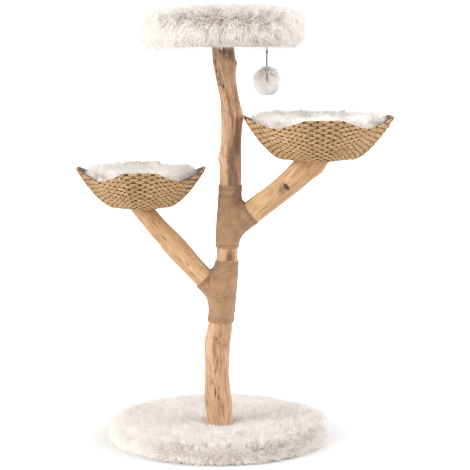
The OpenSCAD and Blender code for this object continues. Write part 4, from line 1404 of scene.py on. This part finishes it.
def ball_shade(p, n):
    """Painted shade where the pile parts round the knot and down the front, and at the knot itself."""
    q = unit(p - BALL)
    knot = unit(np.array([0.0, -0.45, 0.89]))
    away = np.arccos(np.clip(q @ knot, -1, 1))
    turn = np.arctan2(q[:, 0], -q[:, 2] * 0.45 - q[:, 1] * 0.89)
    rays = smooth_between(np.cos(7 * turn) + 0.6 * noise(p, 0.012, 46), 0.55, 0.85)
    rays = rays * (1 - smooth_between(away, 0.45, 0.95))
    front = np.exp(-((turn / 0.13) ** 2)) * (1 - smooth_between(away, 0.95, 1.35))
    return np.clip(rays + front + 0.9 * (1 - smooth_between(away, 0.10, 0.28)), 0, 1)


ball_base, ball_pile = fur_coat(
    "toy_ball_fur", "toy", ball_skin(), 0.0018 * DENSE, 0.0165, 0.00045 * DENSE, ball_comb, 301,
    ["toy_ball"], shade=ball_shade, upright=1.0, clump=0.22, clump_size=0.008, droop=0.05,
    lift=(-0.35, -0.35, 0.1), sheer=True,
)


# ---------------------------------------------------------------- string

string_low, string_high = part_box("toy_string")
STRING_R = 0.0018
sx, sy = (string_low.x + string_high.x) / 2, (string_low.y + string_high.y) / 2
string_path = np.array([[sx, sy, string_high.z + (string_low.z - string_high.z) * k / 60] for k in range(61)])
twist = np.linspace(0, 2 * np.pi, 12, endpoint=False)
turn = (string_high.z - string_path[:, 2]) / 0.0045 * 2 * np.pi
bead = STRING_R * (0.93 + 0.09 * np.cos(3 * (twist[None, :] - turn[:, None] / 3)))
spoke = np.stack([bead * np.cos(twist), bead * np.sin(-twist), 0 * bead], axis=-1)
string_rings = string_path[:, None, :] + spoke
string_at = ((string_high.z - string_path[:, 2])[:, None], twist[None, :] * STRING_R, np.zeros(bead.shape))
string_cord = np.stack(np.broadcast_arrays(*string_at), axis=-1)
string_piece = make_mesh("toy_string_cord", *closed_tube(string_rings, {"cord": string_cord}))
place(string_piece, "toy", STRING, "string", "toy_string")


# ---------------------------------------------------------------- carried-over CAD nodes

NODE_MATERIALS = {
    "floor_pads": FELT, "bolt_cover_pad": FELT, "base_dust_cloth": DUST_CLOTH, "perch_lining": DUST_CLOTH,
    "base_board": PLYWOOD, "perch_board": PLYWOOD, "base_foam": FOAM, "perch_foam": FOAM,
    "small_basket_plate": PLYWOOD, "small_basket_spacer": PLYWOOD, "large_basket_plate": PLYWOOD,
    "large_basket_spacer": PLYWOOD, "small_basket_frame": WIRE, "large_basket_frame": WIRE, "toy_knot": FELT,
}
for name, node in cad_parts.items():
    if not node.hide_render:
        node.data.materials.clear()
        node.data.materials.append(NODE_MATERIALS.get(name, STEEL))


# ---------------------------------------------------------------- room, light and camera


FLOOR_HALF = 30.0
DOME_R = 40
DOME_GLOW = 1.02
WORLD_LIGHT = 0.84


def studio():
    """White floor, a white dome that only the camera sees, and soft light from three sides."""
    floor_mesh = bpy.data.meshes.new("floor")
    corners = [(x * FLOOR_HALF, y * FLOOR_HALF, 0) for x, y in ((-1, -1), (1, -1), (1, 1), (-1, 1))]
    floor_mesh.from_pydata(corners, [], [(0, 1, 2, 3)])
    floor = add_object("floor", floor_mesh)
    n = Nodes("pale_floor")
    speck = n.noise(n.object_vector((1, 1, 1)), 3, 2)
    pale = n.ramp(speck, (0.3, grey(0.685)), (0.7, grey(0.695)))
    floor_mesh.materials.append(n.finish(pale, 0.9, Specular_IOR_Level=0.0))

    dome_mesh = bpy.data.meshes.new("dome")
    bm = bmesh.new()
    bmesh.ops.create_icosphere(bm, subdivisions=4, radius=DOME_R)
    bm.to_mesh(dome_mesh)
    bm.free()
    dome = add_object("dome", dome_mesh)
    n = Nodes("white_dome")
    glow = {"Emission_Color": (1, 1, 1, 1), "Emission_Strength": DOME_GLOW}
    n.finish(BLACK, 1.0, Specular_IOR_Level=0.0, **glow)
    dome_mesh.materials.append(n.material)
    dome.visible_diffuse = dome.visible_glossy = dome.visible_transmission = dome.visible_shadow = False

    world = bpy.data.worlds.new("studio")
    bpy.context.scene.world = world
    world.use_nodes = True
    world.node_tree.nodes["Background"].inputs["Color"].default_value = (1, 1, 1, 1)
    world.node_tree.nodes["Background"].inputs["Strength"].default_value = WORLD_LIGHT

    def sun(name, azimuth, elevation, softness, share):
        """Azimuth 0 comes from the front and 90 from the right.

        share is its light on a surface that faces it.
        """
        light = bpy.data.lights.new(name, "SUN")
        light.angle = math.radians(softness)
        light.energy = share * math.pi
        obj = add_object(name, light)
        obj.rotation_euler = (math.radians(90 - elevation), 0, math.radians(azimuth))

    sun("key", -68, 21, 42, 0.72)
    sun("rim", 88, 24, 60, 0.67)
    sun("top", 10, 80, 60, 0.40)


CAMERA_AT = (0.047, -4.9, 1.30)
CAMERA_TILT = 7.84
LENS = 125.67
SENSOR = 36


def camera():
    """A long lens from the front, a little above the perch and tilted down by CAMERA_TILT degrees."""
    data = bpy.data.cameras.new("camera")
    data.lens = LENS
    data.sensor_width = SENSOR
    data.clip_end = 200
    obj = add_object("camera", data)
    obj.location = CAMERA_AT
    obj.rotation_euler = (math.radians(90 - CAMERA_TILT), 0, 0)
    bpy.context.scene.camera = obj


studio()
camera()
view = bpy.context.scene.view_settings
view.view_transform = "Standard"
view.look = "None"
view.exposure = 0.0
# a narrow filter and an unsmoothed denoiser keep the pile and the weave sharp
bpy.context.scene.cycles.filter_width = 1.05
bpy.context.scene.cycles.denoising_prefilter = "NONE"
